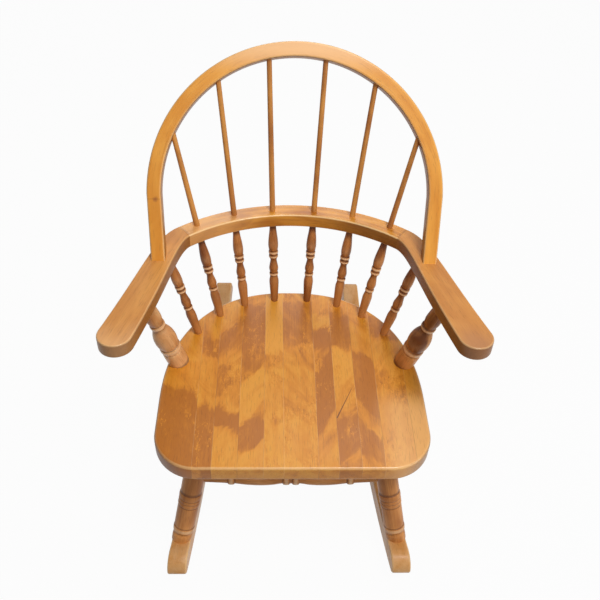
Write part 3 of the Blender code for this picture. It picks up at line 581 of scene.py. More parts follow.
def stave_wood(name, middle, half, tone, lean, patches):
    """Wood of a seat stave, with its seams, the crack in one stave, a painted sheen on the right front, and
    painted shade on the edge faces of the outer staves.
    """
    material, shader, grain = new_wood(name)
    across, backward = seat_place(grain)
    fibres = grain.noise(FIBRE_CELLS)
    shade = stave_shade(grain, across, backward, fibres, middle, tone, lean, patches)
    colour = shade.between(0.0, 0.55).mixed(BROWN, ORANGE)
    colour = shade.between(0.45, 0.95).mixed(colour, SEAT_GOLD)
    # Painted sheen on the seat's right front
    sheen = across.between(*SEAT_SHEEN_RIGHT) * backward.between(*SEAT_SHEEN_FRONT)
    colour = (0.40 * sheen).mixed(colour, PALE)
    colour = pored(grain, colour, fibres, 0.22)
    seam = abs(across - middle).between(half - SEAM_START, half - SEAM_END)
    parted = grain.noise(CLUSTER_CELLS).between(0.42, 0.58)
    # Seams between staves: a light glue line in places and a dark one elsewhere, the staves' own colour
    colour = (0.20 * seam * parted).mixed(colour, PALE_WEAR_AND_HIGHLIGHT)
    colour = (0.25 * seam * (1 - parted)).mixed(colour, UMBER)
    if name == CRACKED_STAVE:
        colour = crack(across, backward, CRACK_START, CRACK_END, CRACK_WIDTH).mixed(colour, UMBER)
    # Painted shade on the edge faces of the outer staves, where their lighter crests fade
    shaded_rim = abs(across).between(*SEAT_SHADED_RIM)
    colour = wear_highlight_and_shade(grain, colour, PALE_WEAR_AND_HIGHLIGHT, 0.42 - 0.27 * shaded_rim, shade=0.06 + 0.50 * shaded_rim)
    lacquered(shader, grain, colour, fibres)
    return material


def seat_back_point(angle, inset):
    """Point of the seat's back curve, moved inwards; angle in degrees from the right-hand side."""
    power = 2 / SEAT_BACK_POWER
    cosine = math.cos(math.radians(angle))
    sine = math.sin(math.radians(angle))
    x = math.copysign(abs(cosine) ** power, cosine) * (SEAT_WIDTH / 2 - inset)
    y = SEAT_WIDEST_Y + max(sine, 0.0) ** power * (SEAT_BACK_Y - SEAT_WIDEST_Y - inset)
    return Vector((x, y, 0))


def seat_foot(angle, inset, sign):
    """Place of a spindle or post on the seat's left or right."""
    point = seat_back_point(angle, inset)
    return Vector((sign * abs(point.x), point.y, 0))


def bow_frame():
    """Frame in the bow's middle plane: X across, Y up the slant, origin between its feet."""
    foot = ARM_PLANE @ Vector((0, BOW_FOOT_Y, 0))
    return Matrix.Translation(foot) @ Matrix.Rotation(math.pi / 2 - BOW_LEAN, 4, "X")


def bow_inner_point(angle, sign):
    """Point on the inner edge of the bow's arch; angle in degrees from its top."""
    radius = BOW_RADIUS - BOW_FACE_WIDTH
    turn = math.radians(angle)
    height = BOW_LEG_LENGTH + radius * math.cos(turn)
    return bow_frame() @ Vector((sign * radius * math.sin(turn), height, 0))


def on_arm_underside(start, end):
    """Point where a line meets the underside of the arms and rail, in the seat's frame."""
    inverse = ARM_PLANE.inverted()
    low = inverse @ start
    high = inverse @ end
    return start.lerp(end, (-ARM_THICKNESS - low.z) / (high.z - low.z))


def rail_joint_angle():
    """Angle round the rail's centre at which it meets the arms, beyond the outermost long spindle."""
    seat = seat_back_point(LONG_SPINDLE_SEAT_ANGLES[-1], SPINDLE_INSET)
    bow = bow_inner_point(LONG_SPINDLE_BOW_ANGLES[-1], 1)
    hole = ARM_PLANE.inverted() @ on_arm_underside(seat, bow)
    return math.atan2(hole.x, hole.y - RAIL_CENTRE_Y) + RAIL_JOINT_DISTANCE / RAIL_RADIUS


def arm_centre(share):
    """Point and direction of the right arm's centre line in the arm plane, from rail joint to tip."""
    sine = math.sin(rail_joint_angle())
    cosine = math.cos(rail_joint_angle())
    rear = Vector((RAIL_RADIUS * sine, RAIL_CENTRE_Y + RAIL_RADIUS * cosine))
    rear_pull = rear + ARM_REAR_PULL * Vector((cosine, -sine))
    tip = Vector((ARM_TIP_X, ARM_TIP_Y))
    tip_pull = tip - ARM_FRONT_PULL * Vector((math.sin(ARM_TIP_SPLAY), -math.cos(ARM_TIP_SPLAY)))
    rest = 1 - share
    point = rear * rest**3 + rear_pull * 3 * rest**2 * share
    point += tip_pull * 3 * rest * share**2 + tip * share**3
    slope = (rear_pull - rear) * rest**2 + (tip_pull - rear_pull) * 2 * rest * share
    slope += (tip - tip_pull) * share**2
    return point, slope.normalized()


def chair_place():
    """The seat's frame at rest, from a joint dowel whose middle is known in that frame."""
    lean = Matrix.Rotation(-REST_LEAN, 4, "X")
    low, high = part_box("right_joint_dowel_1")
    point, slope = arm_centre(0.0)
    middle = point + Vector((slope.y, -slope.x)) * DOWEL_SPACING / 2
    known = lean @ ARM_PLANE @ Vector((middle.x, middle.y, -ARM_THICKNESS / 2))
    return Matrix.Translation((low + high) / 2 - known) @ lean


CHAIR = chair_place()
RAIL_HEIGHT = (CHAIR @ ARM_PLANE @ Vector((0, RAIL_BACK_Y, 0))).z


def along(start, end):
    """Frame at start whose Z axis points to end."""
    return Matrix.Translation(start) @ (end - start).to_track_quat("Z", "Y").to_matrix().to_4x4()


def round_corner(before, corner, after, radius):
    """Points of a round corner between two straight sides."""
    back = (Vector(before) - Vector(corner)).normalized()
    ahead = (Vector(after) - Vector(corner)).normalized()
    half = back.angle(ahead) / 2
    centre = Vector(corner) + (back + ahead).normalized() * radius / math.sin(half)
    first = Vector(corner) + back * radius / math.tan(half) - centre
    last = Vector(corner) + ahead * radius / math.tan(half) - centre
    turn = first.angle(last)
    points = []
    for i in range(CORNER_STEPS + 1):
        share = i / CORNER_STEPS
        blend = first * math.sin((1 - share) * turn) + last * math.sin(share * turn)
        points.append(tuple(centre + blend / math.sin(turn)))
    return points


def side_normals(points, square_ends):
    """Inward normal of each side of an outline, and whether its edge is rounded, 1, or left sharp, 0."""
    middles = [(Vector(a) + Vector(b)) / 2 for a, b in square_ends]
    sides = []
    for point, after in zip(points, points[1:] + points[:1]):
        ahead = (after - point).normalized()
        middle = (point + after) / 2
        square = any((middle - end).length < WELD for end in middles)
        sides.append((Vector((-ahead.y, ahead.x)), 0.0 if square else 1.0))
    return sides


def inward_steps(points, square_ends):
    """For each point of an outline, the step that moves its two sides inwards by one unit."""
    sides = side_normals(points, square_ends)
    steps = []
    for (first, one), (second, two) in zip(sides[-1:] + sides[:-1], sides):
        if one and two:
            steps.append((first + second) / (1 + first.dot(second)))
        else:
            step = Vector((one * second.y - two * first.y, two * first.x - one * second.x))
            steps.append(step / first.cross(second))
    return steps


def close_band(shape, ring):
    """Faces across a band, between the points that face each other from its two ends inwards."""
    for i in range(len(ring) // 2):
        corners = [ring[i], ring[i + 1], ring[-2 - i], ring[-1 - i]]
        corners = list(dict.fromkeys(corners))
        if len(corners) > 2:
            shape.faces.new(corners)


def board(outline, thickness, edge_radius, square_ends=(), band=False):
    """A flat board, its middle at z = 0, with round long edges; square_ends are sides left sharp."""
    points = [Vector(point) for point in outline]
    if sum(a.cross(b) for a, b in zip(points, points[1:] + points[:1])) < 0:
        points.reverse()
    steps = inward_steps(points, square_ends)
    rows = [(edge_radius + CAP_MARGIN, thickness / 2, 0.0, 0.0)]
    for i in range(EDGE_STEPS, -1, -1):
        turn = math.pi / 2 * i / EDGE_STEPS
        height = thickness / 2 - edge_radius * (1 - math.sin(turn))
        rows.append((edge_radius * (1 - math.cos(turn)), height, math.sin(2 * turn), math.cos(turn)))
    rows += [(inset, -height, crest, side) for inset, height, crest, side in reversed(rows)]
    shape = bmesh.new()
    crest_layer = shape.verts.layers.float.new("crest")
    side_layer = shape.verts.layers.float.new("side")
    rings = []
    for inset, height, crest, side in rows:
        ring = [shape.verts.new((*(point + step * inset), height)) for point, step in zip(points, steps)]
        for vertex in ring:
            vertex[crest_layer] = crest
            vertex[side_layer] = side
        rings.append(ring)
    for upper, lower in zip(rings, rings[1:]):
        for i in range(len(points)):
            j = (i + 1) % len(points)
            shape.faces.new((upper[i], lower[i], lower[j], upper[j]))
    for ring in (rings[0], rings[-1][::-1]):
        if band:
            close_band(shape, ring)
        else:
            shape.faces.new(ring)
    return shape


def trimmed(shape, point, normal):
    """Cuts away what lies beyond a plane, and closes the cut."""
    geometry = shape.verts[:] + shape.edges[:] + shape.faces[:]
    cut = bmesh.ops.bisect_plane(
        shape,
        geom=geometry,
        dist=WELD,
        plane_co=point,
        plane_no=normal,
        clear_outer=True,
    )
    edges = [item for item in cut["geom_cut"] if isinstance(item, bmesh.types.BMEdge)]
    bmesh.ops.holes_fill(shape, edges=edges, sides=0)
    return shape


def add_piece(node, shape, place, material, grain_of):
    """A finished piece, moved to its place in the world, which stands for one solid."""
    mesh = bpy.data.meshes.new("finished_" + node)
    shape.to_mesh(mesh)
    shape.free()
    mesh.shade_smooth()
    mesh.set_sharp_from_angle(angle=SHARP_ANGLE)
    spread = sum(ord(letter) for letter in node) * GRAIN_SHIFT
    shift = Vector((spread, spread % GRAIN_WRAP, 0))
    grain = mesh.attributes.new("grain", "FLOAT_VECTOR", "POINT")
    for vertex, entry in zip(mesh.vertices, grain.data):
        entry.vector = grain_of(vertex.co) + shift
    mesh.transform(CHAIR @ place)
    mesh.materials.clear()
    mesh.materials.append(material)
    piece = bpy.data.objects.new("finished_" + node, mesh)
    bpy.context.scene.collection.objects.link(piece)
    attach(piece, "root")
    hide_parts(node)
    return piece


def turning_tree():
    """Geometry nodes that spin a chain of points with radii into a smooth turned piece."""
    tree = bpy.data.node_groups.new("turning", "GeometryNodeTree")
    face = tree.interface
    face.new_socket("Chain", in_out="INPUT", socket_type="NodeSocketGeometry")
    sides = face.new_socket("Sides", in_out="INPUT", socket_type="NodeSocketInt")
    wood = face.new_socket("Wood", in_out="INPUT", socket_type="NodeSocketMaterial")
    face.new_socket("Piece", in_out="OUTPUT", socket_type="NodeSocketGeometry")
    nodes = tree.nodes
    entry = nodes.new("NodeGroupInput")
    leave = nodes.new("NodeGroupOutput")
    axis = nodes.new("GeometryNodeMeshToCurve")
    radius = nodes.new("GeometryNodeInputNamedAttribute")
    radius.data_type = "FLOAT"
    radius.inputs["Name"].default_value = "reach"
    circle = nodes.new("GeometryNodeCurvePrimitiveCircle")
    circle.inputs["Radius"].default_value = 1.0
    sweep = nodes.new("GeometryNodeCurveToMesh")
    sweep.inputs["Fill Caps"].default_value = True
    real = nodes.new("GeometryNodeRealizeInstances")
    paint = nodes.new("GeometryNodeSetMaterial")
    for start, end in (
        (entry.outputs["Chain"], axis.inputs["Mesh"]),
        (axis.outputs["Curve"], sweep.inputs["Curve"]),
        (entry.outputs["Sides"], circle.inputs["Resolution"]),
        (circle.outputs["Curve"], sweep.inputs["Profile Curve"]),
        (radius.outputs["Attribute"], sweep.inputs["Scale"]),
        (sweep.outputs["Mesh"], real.inputs["Geometry"]),
        (real.outputs["Geometry"], paint.inputs["Geometry"]),
        (entry.outputs["Wood"], paint.inputs["Material"]),
        (paint.outputs["Geometry"], leave.inputs["Piece"]),
    ):
        tree.links.new(start, end)
    return tree, sides.identifier, wood.identifier


TURNING, SIDES_INPUT, WOOD_INPUT = turning_tree()


def smooth_run(stations):
    """Points of a smooth curve through (place, diameter) pairs."""
    points = []
    for i in range(len(stations) - 1):
        pairs = [stations[max(0, min(len(stations) - 1, i + step))] for step in (-1, 0, 1, 2)]
        before, first, last, after = (Vector(pair) for pair in pairs)
        span = last.x - first.x
        rise = (last.y - before.y) / (last.x - before.x) * span
        fall = (after.y - first.y) / (after.x - first.x) * span
        for step in range(RUN_STEPS + (i == len(stations) - 2)):
            t = step / RUN_STEPS
            value = first.y * (2 * t**3 - 3 * t**2 + 1) + rise * (t**3 - 2 * t**2 + t)
            value += last.y * (3 * t**2 - 2 * t**3) + fall * (t**3 - t**2)
            points.append((first.x + t * span, value))
    return points


def bead_run(bead):
    """Points of a half-round ring between two places."""
    points = []
    for step in range(BEAD_STEPS + 1):
        turn = math.pi * step / BEAD_STEPS
        share = (1 - math.cos(turn)) / 2
        place = bead.start + share * (bead.end - bead.start)
        points.append((place, bead.low + (bead.high - bead.low) * math.sin(turn)))
    return points


def crest_at(place, beads, crest):
    """Crest value at a place along a turning, for wearing with a painted highlight where it is high and dirt
    with painted shade where it is low: 1 on the crest of a bead, -1 in its grooves, crest elsewhere.
    """
    for start, end in beads:
        if start <= place <= end:
            rise = max(0.0, math.sin(math.pi * (place - start) / (end - start)))
            return 2 * rise**RING_POWER - 1
        gap = start - place if place < start else place - end
        crest = min(crest, gap / GROOVE_WIDTH - 1)
    return crest


def turning_points(turning, length=1.0):
    """Points (place, diameter, crest) of a whole turning."""
    points = []
    beads = []
    for run in turning:
        ring = isinstance(run, Bead)
        if ring:
            beads.append((run.start * length, run.end * length))
        for place, diameter in bead_run(run) if ring else smooth_run(run):
            if points and place <= points[-1][0] + WELD:
                points[-1] = (points[-1][0], min(diameter, points[-1][1]))
            else:
                points.append((place, diameter))
    narrow = min(diameter for place, diameter in points)
    wide = max(diameter for place, diameter in points)
    rows = []
    for place, diameter in points:
        # Swelling parts get a painted highlight and narrow necks painted shade, through the crest value
        swell = (diameter - narrow) / (wide - narrow) if wide > narrow else SWELL_NEUTRAL
        crest = crest_at(place * length, beads, SWELL_HIGHLIGHT_AND_SHADE * (swell - SWELL_NEUTRAL))
        rows.append((place * length, diameter, crest))
    return rows


def turned_shape(name, points, material):
    """The mesh of a turned piece along Z, made by the turning nodes."""
    chain = bpy.data.meshes.new(name)
    chain.from_pydata([(0, 0, row[0]) for row in points], [(i, i + 1) for i in range(len(points) - 1)], [])
    reach = chain.attributes.new("reach", "FLOAT", "POINT")
    crest = chain.attributes.new("crest", "FLOAT", "POINT")
    for i, row in enumerate(points):
        reach.data[i].value = row[1] / 2
        crest.data[i].value = row[2]
    holder = bpy.data.objects.new(name, chain)
    bpy.context.scene.collection.objects.link(holder)
    step = holder.modifiers.new("turning", "NODES")
    step.node_group = TURNING
    step[SIDES_INPUT] = TURNING_SIDES
    step[WOOD_INPUT] = material
    graph = bpy.context.evaluated_depsgraph_get()
    mesh = bpy.data.meshes.new_from_object(holder.evaluated_get(graph))
    bpy.data.objects.remove(holder)
    shape = bmesh.new()
    shape.from_mesh(mesh)
    bpy.data.meshes.remove(mesh)
    bmesh.ops.remove_doubles(shape, verts=shape.verts, dist=WELD)
    bmesh.ops.recalc_face_normals(shape, faces=shape.faces)
    return shape


def turned_grain(point):
    """Grain of a turned piece: along its axis."""
    return Vector((point.z, point.x, point.y))


def add_turned(node, points, start, end, material, cuts=()):
    """A turned piece between two points of the seat's frame, trimmed by planes of that frame."""
    place = along(start, end)
    inverse = place.inverted()
    shape = turned_shape(node, points, material)
    for point, normal in cuts:
        trimmed(shape, inverse @ point, inverse.to_3x3() @ normal)
    return add_piece(node, shape, place, material, turned_grain)


# Tone of each stave, where 0 is brown and 1 is gold, the lean of its figure in degrees, and its stained
# patches: middle and half length along the seat from front to back, slant, and shade
STAVE_LOOKS = (
    (0.64, 32.0, (
        Patch(-0.165, 0.118, 0.55, -0.58),
    )),
    (0.58, 20.0, (
        Patch(0.075, 0.035, 0.4, -0.30), Patch(-0.170, 0.075, 0.5, -0.48),
    )),
    (0.60, -30.0, (
        Patch(0.100, 0.034, -0.8, -0.42), Patch(-0.030, 0.050, 0.4, -0.16),
        Patch(-0.127, 0.026, 0.2, -0.85), Patch(-0.200, 0.050, 0.0, 0.15),
    )),
    (0.51, -38.0, (
        Patch(0.110, 0.100, 0.3, -0.42), Patch(-0.055, 0.045, -1.6, 0.38),
        Patch(-0.150, 0.034, -0.4, -0.48), Patch(-0.215, 0.030, -0.5, 0.20),
    )),
    (0.80, 15.0, (
        Patch(0.135, 0.075, 0.3, 0.40), Patch(0.030, 0.028, 0.0, -0.32),
        Patch(-0.080, 0.070, -0.6, -0.12),
    )),
    (0.57, 25.0, (
        Patch(0.145, 0.070, 0.0, -0.34), Patch(0.040, 0.030, 0.5, -0.12),
        Patch(-0.180, 0.060, 0.4, 0.12),
    )),
    (0.58, -35.0, (
        Patch(0.142, 0.018, 0.0, 0.30), Patch(0.098, 0.030, 0.3, -0.60),
        Patch(-0.050, 0.082, -1.8, -0.54),
    )),
    (0.58, -40.0, (
        Patch(0.120, 0.055, 0.4, -0.46), Patch(0.030, 0.040, -0.6, 0.25),
        Patch(-0.158, 0.050, -0.9, -0.52), Patch(-0.230, 0.018, 0.0, -0.35),
    )),
    (0.53, 28.0, (
        Patch(-0.045, 0.095, 0.3, -0.48), Patch(-0.118, 0.018, 0.9, 0.35),
        Patch(-0.180, 0.040, 0.7, -0.32),
    )),
    (0.66, -22.0, (
        Patch(0.125, 0.035, 0.5, -0.44), Patch(-0.040, 0.040, 0.4, -0.16),
    )),
    (1.05, 30.0, (
        Patch(-0.020, 0.050, 0.6, -0.20),
    )),
)


def add_seat():
    """The seat's staves, sawn from one blank."""
    half = SEAT_WIDTH / 2
    outline = [tuple(seat_back_point(180 * i / SEAT_STEPS, 0).xy) for i in range(SEAT_STEPS + 1)]
    left_corner = (-half, SEAT_FRONT_Y)
    right_corner = (half, SEAT_FRONT_Y)
    outline += round_corner(outline[-1], left_corner, right_corner, SEAT_CORNER_RADIUS)
    outline += round_corner(left_corner, right_corner, outline[0], SEAT_CORNER_RADIUS)
    blank = board(outline, SEAT_THICKNESS, SEAT_EDGE_RADIUS)
    place = Matrix.Translation((0, 0, -SEAT_THICKNESS / 2))
    unit = SEAT_WIDTH / sum(STAVE_PROPORTIONS)
    start = -half
    for number, proportion in enumerate(STAVE_PROPORTIONS, 1):
        end = start + proportion * unit
        shape = blank.copy()
        if number > 1:
            trimmed(shape, Vector((start, 0, 0)), Vector((-1, 0, 0)))
        if number < len(STAVE_PROPORTIONS):
            trimmed(shape, Vector((end, 0, 0)), Vector((1, 0, 0)))
        node = f"seat_stave_{number:02d}"
        wood = stave_wood(node, (start + end) / 2, (end - start) / 2, *STAVE_LOOKS[number - 1])
        add_piece(node, shape, place, wood, lambda co: Vector((co.y, co.x, co.z)))
        start = end
    blank.free()


def rail_grain(point):
    """Grain of the rail: round its curve."""
    ray = Vector((point.x, point.y - RAIL_CENTRE_Y))
    return Vector((RAIL_RADIUS * math.atan2(ray.x, ray.y), ray.length - RAIL_RADIUS, point.z))


def arm_grain(point):
    """Grain of an arm: straight, from the rail joint to the tip."""
    rear = arm_centre(0.0)[0]
    length = (Vector((ARM_TIP_X, ARM_TIP_Y)) - rear).normalized()
    offset = Vector((abs(point.x), point.y)) - rear
    return Vector((offset.dot(length), offset.cross(length), point.z))


def add_rail_and_arms(wood_of_rail, wood_of_arms):
    """Back rail, arms and the dowels of their joints."""
    place = ARM_PLANE @ Matrix.Translation((0, 0, -ARM_THICKNESS / 2))
    limit = rail_joint_angle() - JOINT_GAP / 2 / RAIL_RADIUS
    centre = Vector((0, RAIL_CENTRE_Y))
    outer = []
    inner = []
    for i in range(ARC_STEPS + 1):
        turn = limit * (1 - 2 * i / ARC_STEPS)
        ray = Vector((math.sin(turn), math.cos(turn)))
        outer.append(tuple(centre + ray * (RAIL_RADIUS + RAIL_WIDTH / 2)))
        inner.append(tuple(centre + ray * (RAIL_RADIUS - RAIL_WIDTH / 2)))
    ends = ((outer[0], inner[0]), (outer[-1], inner[-1]))
    shape = board(outer + inner[::-1], ARM_THICKNESS, ARM_EDGE_RADIUS, ends, band=True)
    add_piece("back_rail", shape, place, wood_of_rail, rail_grain)
    joint, slope = arm_centre(0.0)
    across = Vector((-slope.y, slope.x))
    for side, sign in SIDES:
        outer = []
        inner = []
        for i in range(ARM_STEPS + 1):
            share = i / ARM_STEPS
            point, direction = arm_centre(share)
            point = point + direction * (JOINT_GAP / 2 if i == 0 else 0)
            normal = Vector((-direction.y, direction.x))
            width = RAIL_WIDTH + (ARM_TIP_WIDTH - RAIL_WIDTH) * share**ARM_WIDENING_POWER
            outer.append(point + normal * width / 2)
            inner.append(point - normal * width / 2)
        tip = []
        for i in range(1, TIP_STEPS):
            swing = Matrix.Rotation(-math.pi * i / TIP_STEPS, 2)
            tip.append(point + swing @ (outer[-1] - point))
        outline = [(sign * q.x, q.y) for q in outer + tip + inner[::-1]]
        rear = ((outline[0], outline[-1]),)
        shape = board(outline, ARM_THICKNESS, ARM_EDGE_RADIUS, rear, band=True)
        add_piece(f"{side}_arm", shape, place, wood_of_arms, arm_grain)
        for number, offset in ((1, -DOWEL_SPACING / 2), (2, DOWEL_SPACING / 2)):
            middle = joint + across * offset
            reach = slope * DOWEL_LENGTH / 2
            depth = -ARM_THICKNESS / 2
            start = ARM_PLANE @ Vector((sign * (middle.x - reach.x), middle.y - reach.y, depth))
            end = ARM_PLANE @ Vector((sign * (middle.x + reach.x), middle.y + reach.y, depth))
            points = [(0.0, DOWEL_DIAMETER, 0.0), (DOWEL_LENGTH, DOWEL_DIAMETER, 0.0)]
            add_turned(f"{side}_joint_dowel_{number}", points, start, end, wood_of_rail)


def bow_grain(point):
    """Grain of the bow: round its arch and down its legs."""
    middle = BOW_RADIUS - BOW_FACE_WIDTH / 2
    rise = point.y - BOW_LEG_LENGTH
    if rise > 0:
        return Vector((middle * math.atan2(point.x, rise), math.hypot(point.x, rise) - middle, point.z))
    length = middle * math.pi / 2 - rise
    return Vector((math.copysign(length, point.x), abs(point.x) - middle, point.z))


def add_bow(wood):
    """The arch, its feet cut to the arm tops."""
    place = bow_frame()
    below = -2 * BOW_DEPTH
    outer = []
    inner = []
    for ring, radius in ((outer, BOW_RADIUS - BOW_TRIM), (inner, BOW_RADIUS - BOW_FACE_WIDTH)):
        foot = radius - BOW_TOE_IN * (1 - below / BOW_LEG_LENGTH)
        ring.append((foot, below))
        for i in range(BOW_STEPS + 1):
            turn = math.pi * i / BOW_STEPS
            ring.append((radius * math.cos(turn), BOW_LEG_LENGTH + radius * math.sin(turn)))
        ring.append((-foot, below))
    shape = board(outer + inner[::-1], BOW_DEPTH, BOW_EDGE_RADIUS, band=True)
    inverse = place.inverted()
    down = ARM_PLANE.to_3x3() @ Vector((0, 0, -1))
    trimmed(shape, inverse @ (ARM_PLANE @ Vector((0, 0, 0))), inverse.to_3x3() @ down)
    add_piece("bow", shape, place, wood, bow_grain)


def arm_point(share, drop, sign):
    """Point of an arm's centre line, a distance below the arm's top, in the seat's frame."""
    point = arm_centre(share)[0]
    return ARM_PLANE @ Vector((sign * point.x, point.y, -drop))


def upward(turning, length):
    """A turning given from the top down, turned round to run from the seat up."""
    rows = [(length - place, diameter, crest) for place, diameter, crest in turning_points(turning, length)]
    return rows[::-1]


def painted_end_shade(points, length):
    """A turning with painted shade where its ends meet other pieces: a painted shadow under the rail and arms
    at the top, and less at the foot.
    """
    rows = []
    for place, diameter, crest in points:
        head = (length - place) / END_SHADE_LENGTH - HEAD_SHADOW
        foot = place / END_SHADE_LENGTH - FOOT_SHADE
        crest = min(crest, head, foot)
        rows.append((place, diameter, crest))
    return rows


def painted_start_shade(points, reach):
    """A turning with painted shade at its start, over a distance: the seat's shadow on a leg's top, and
    contact shade at a post's foot.
    """
    return [(place, diameter, min(crest, place / reach - 1.0)) for place, diameter, crest in points]


def add_spindles(wood):
    """Six long spindles from seat through rail to bow, and one short spindle under each arm."""
    number = 0
    for side, sign in SIDES:
        for seat_angle, bow_angle in zip(LONG_SPINDLE_SEAT_ANGLES, LONG_SPINDLE_BOW_ANGLES):
            number += 1
            seat = seat_foot(seat_angle, SPINDLE_INSET, sign)
            bow = bow_inner_point(bow_angle, sign)
            lower = (on_arm_underside(seat, bow) - seat).length
            length = (bow - seat).length
            # Painted shade at both ends: a shadow under the rail at the top, less at the seat
            points = painted_end_shade(upward(SPINDLE_TURNING, lower), lower)
            points = [(-HIDDEN_END, points[0][1], 0.0), *points]
            points.append((lower + ARM_THICKNESS, SPINDLE_RAIL_DIAMETER, 0.0))
            points.append((length + HIDDEN_END, SPINDLE_BOW_DIAMETER, 0.0))
            add_turned(f"long_spindle_{number}", points, seat, bow, wood)
        seat = seat_foot(SHORT_SPINDLE_SEAT_ANGLE, SPINDLE_INSET, sign)
        arm = arm_point(SHORT_SPINDLE_ARM_SHARE, ARM_THICKNESS, sign)
        length = (arm - seat).length
        # Painted shade at both ends: a shadow under the arm at the top, less at the seat
        points = painted_end_shade(upward(SPINDLE_TURNING, length), length)
        points = [(-HIDDEN_END, points[0][1], 0.0), *points]
        points.append((length + HIDDEN_END, SPINDLE_RAIL_DIAMETER, 0.0))
        add_turned(f"{side}_short_spindle", points, seat, arm, wood)


def add_posts(woods):
    """Arm posts, cut flat on the seat."""
    for (side, sign), wood in zip(SIDES, woods):
        seat = seat_foot(POST_SEAT_ANGLE, POST_SEAT_INSET, sign)
        arm = arm_point(POST_ARM_SHARE, ARM_THICKNESS, sign)
        length = (arm - seat).length
        # Painted contact shade at the post's foot
        points = painted_start_shade(turning_points(POST_TURNING, length), POST_SHADE_LENGTH)
        foot = (-2 * HIDDEN_END, points[0][1], 0.0)
        head = (length + HIDDEN_END, points[-1][1], 0.0)
        cuts = ((Vector((0, 0, 0)), Vector((0, 0, -1))),)
        add_turned(f"{side}_arm_post", [foot, *points, head], seat, arm, wood, cuts)


def rocker_point(y, sign):
    """Point on the top of a rocker's centre line, in the seat's frame."""
    height = math.sqrt(ROCKER_TOP_RADIUS**2 - (y - ROCKER_CENTRE_Y) ** 2)
    return Vector((sign * (ROCKER_MIDDLE_X - ROCKER_TOE * y), y, ROCKER_CENTRE_Z - height))


def rocker_arc(radius, turn):
    """Point of an arc round the rockers' centre, in their side view."""
    return (ROCKER_CENTRE_Y + radius * math.sin(turn), ROCKER_CENTRE_Z - radius * math.cos(turn))


def rocker_grain(point):
    """Grain of a rocker, in its side view: straight along it."""
    return Vector((point.x, point.y, point.z))


def add_rockers(wood):
    """Both rockers, which lie closer together towards the rear."""
    front = math.asin((ROCKER_FRONT_Y + ROCKER_END_TRIM - ROCKER_CENTRE_Y) / ROCKER_RADIUS)
    rear = math.asin((ROCKER_REAR_Y - ROCKER_END_TRIM - ROCKER_CENTRE_Y) / ROCKER_RADIUS)
    margin = ROCKER_NOSE_RADIUS / ROCKER_TOP_RADIUS
    turns = [front + margin + (rear - front - 2 * margin) * i / ARC_STEPS for i in range(ARC_STEPS + 1)]
    sole = [rocker_arc(ROCKER_SOLE_RADIUS, turn) for turn in turns]
    top = [rocker_arc(ROCKER_TOP_RADIUS, turn) for turn in reversed(turns)]
    rear_low = rocker_arc(ROCKER_SOLE_RADIUS, rear)
    rear_high = rocker_arc(ROCKER_TOP_RADIUS, rear)
    nose_high = rocker_arc(ROCKER_TOP_RADIUS, front)
    nose_low = rocker_arc(ROCKER_SOLE_RADIUS, front)
    outline = list(sole)
    outline += round_corner(sole[-1], rear_low, rear_high, ROCKER_END_RADIUS)
    outline += round_corner(rear_low, rear_high, top[0], ROCKER_END_RADIUS)
    outline += top
    outline += round_corner(top[-1], nose_high, nose_low, ROCKER_NOSE_RADIUS - CAP_MARGIN)
    outline += round_corner(nose_high, nose_low, sole[0], ROCKER_DEPTH - ROCKER_NOSE_RADIUS - CAP_MARGIN)
    upright = Matrix(((0, 0, 1, 0), (1, 0, 0, 0), (0, 1, 0, 0), (0, 0, 0, 1)))
    for side, sign in SIDES:
        shape = board(outline, ROCKER_THICKNESS, ROCKER_EDGE_RADIUS)
        toe = Matrix.Translation((sign * ROCKER_MIDDLE_X, 0, 0))
        toe[0][1] = -sign * ROCKER_TOE
        place = toe @ upright
        add_piece(f"{side}_rocker", shape, place, wood, rocker_grain)


def add_legs(wood):
    """Four legs between seat and rockers; gives each leg's axis ends."""
    legs = {}
    half = SEAT_WIDTH / 2
    places = (
        ("front", FRONT_LEG_WIDTH_SHARE * half, FRONT_LEG_TOP_Y, FRONT_LEG_FOOT_Y),
        ("rear", REAR_LEG_WIDTH_SHARE * half, REAR_LEG_TOP_Y, REAR_LEG_FOOT_Y),
    )
    for side, sign in SIDES:
        for end, top_x, top_y, foot_y in places:
            top = Vector((sign * top_x, top_y, -SEAT_THICKNESS))
            foot = rocker_point(foot_y, sign)
            length = (foot - top).length
            # Painted shadow of the seat on the leg's top
            points = painted_start_shade(turning_points(LEG_TURNING, length), LEG_SHADOW_LENGTH)
            head = (-2 * HIDDEN_END, points[0][1], 0.0)
            base = (length + 2 * HIDDEN_END, points[-1][1], 0.0)
            tilt = math.asin((foot_y - ROCKER_CENTRE_Y) / ROCKER_TOP_RADIUS)
            into_rocker = Matrix.Rotation(tilt, 3, "X") @ Vector((0, 0, -1))
            cuts = ((top, Vector((0, 0, 1))), (foot, into_rocker))
            add_turned(f"{side}_{end}_leg", [head, *points, base], top, foot, wood, cuts)
            legs[side, end] = (top, foot)
    return legs


def add_stretcher(node, first, second, share, turning, wood):
    """A turned bar between two legs, alike to both sides of its middle."""
    start = first[0].lerp(first[1], share)
    end = second[0].lerp(second[1], share)
    half = (end - start).length / 2
    outward = turning_points(turning)
    outward.append((half - HIDDEN_END, STRETCHER_END_DIAMETER, 0.0))
    inward = [(-place, diameter, crest) for place, diameter, crest in reversed(outward) if place > 0]
    add_turned(node, inward + outward, start.lerp(end, 0.5), end, wood)


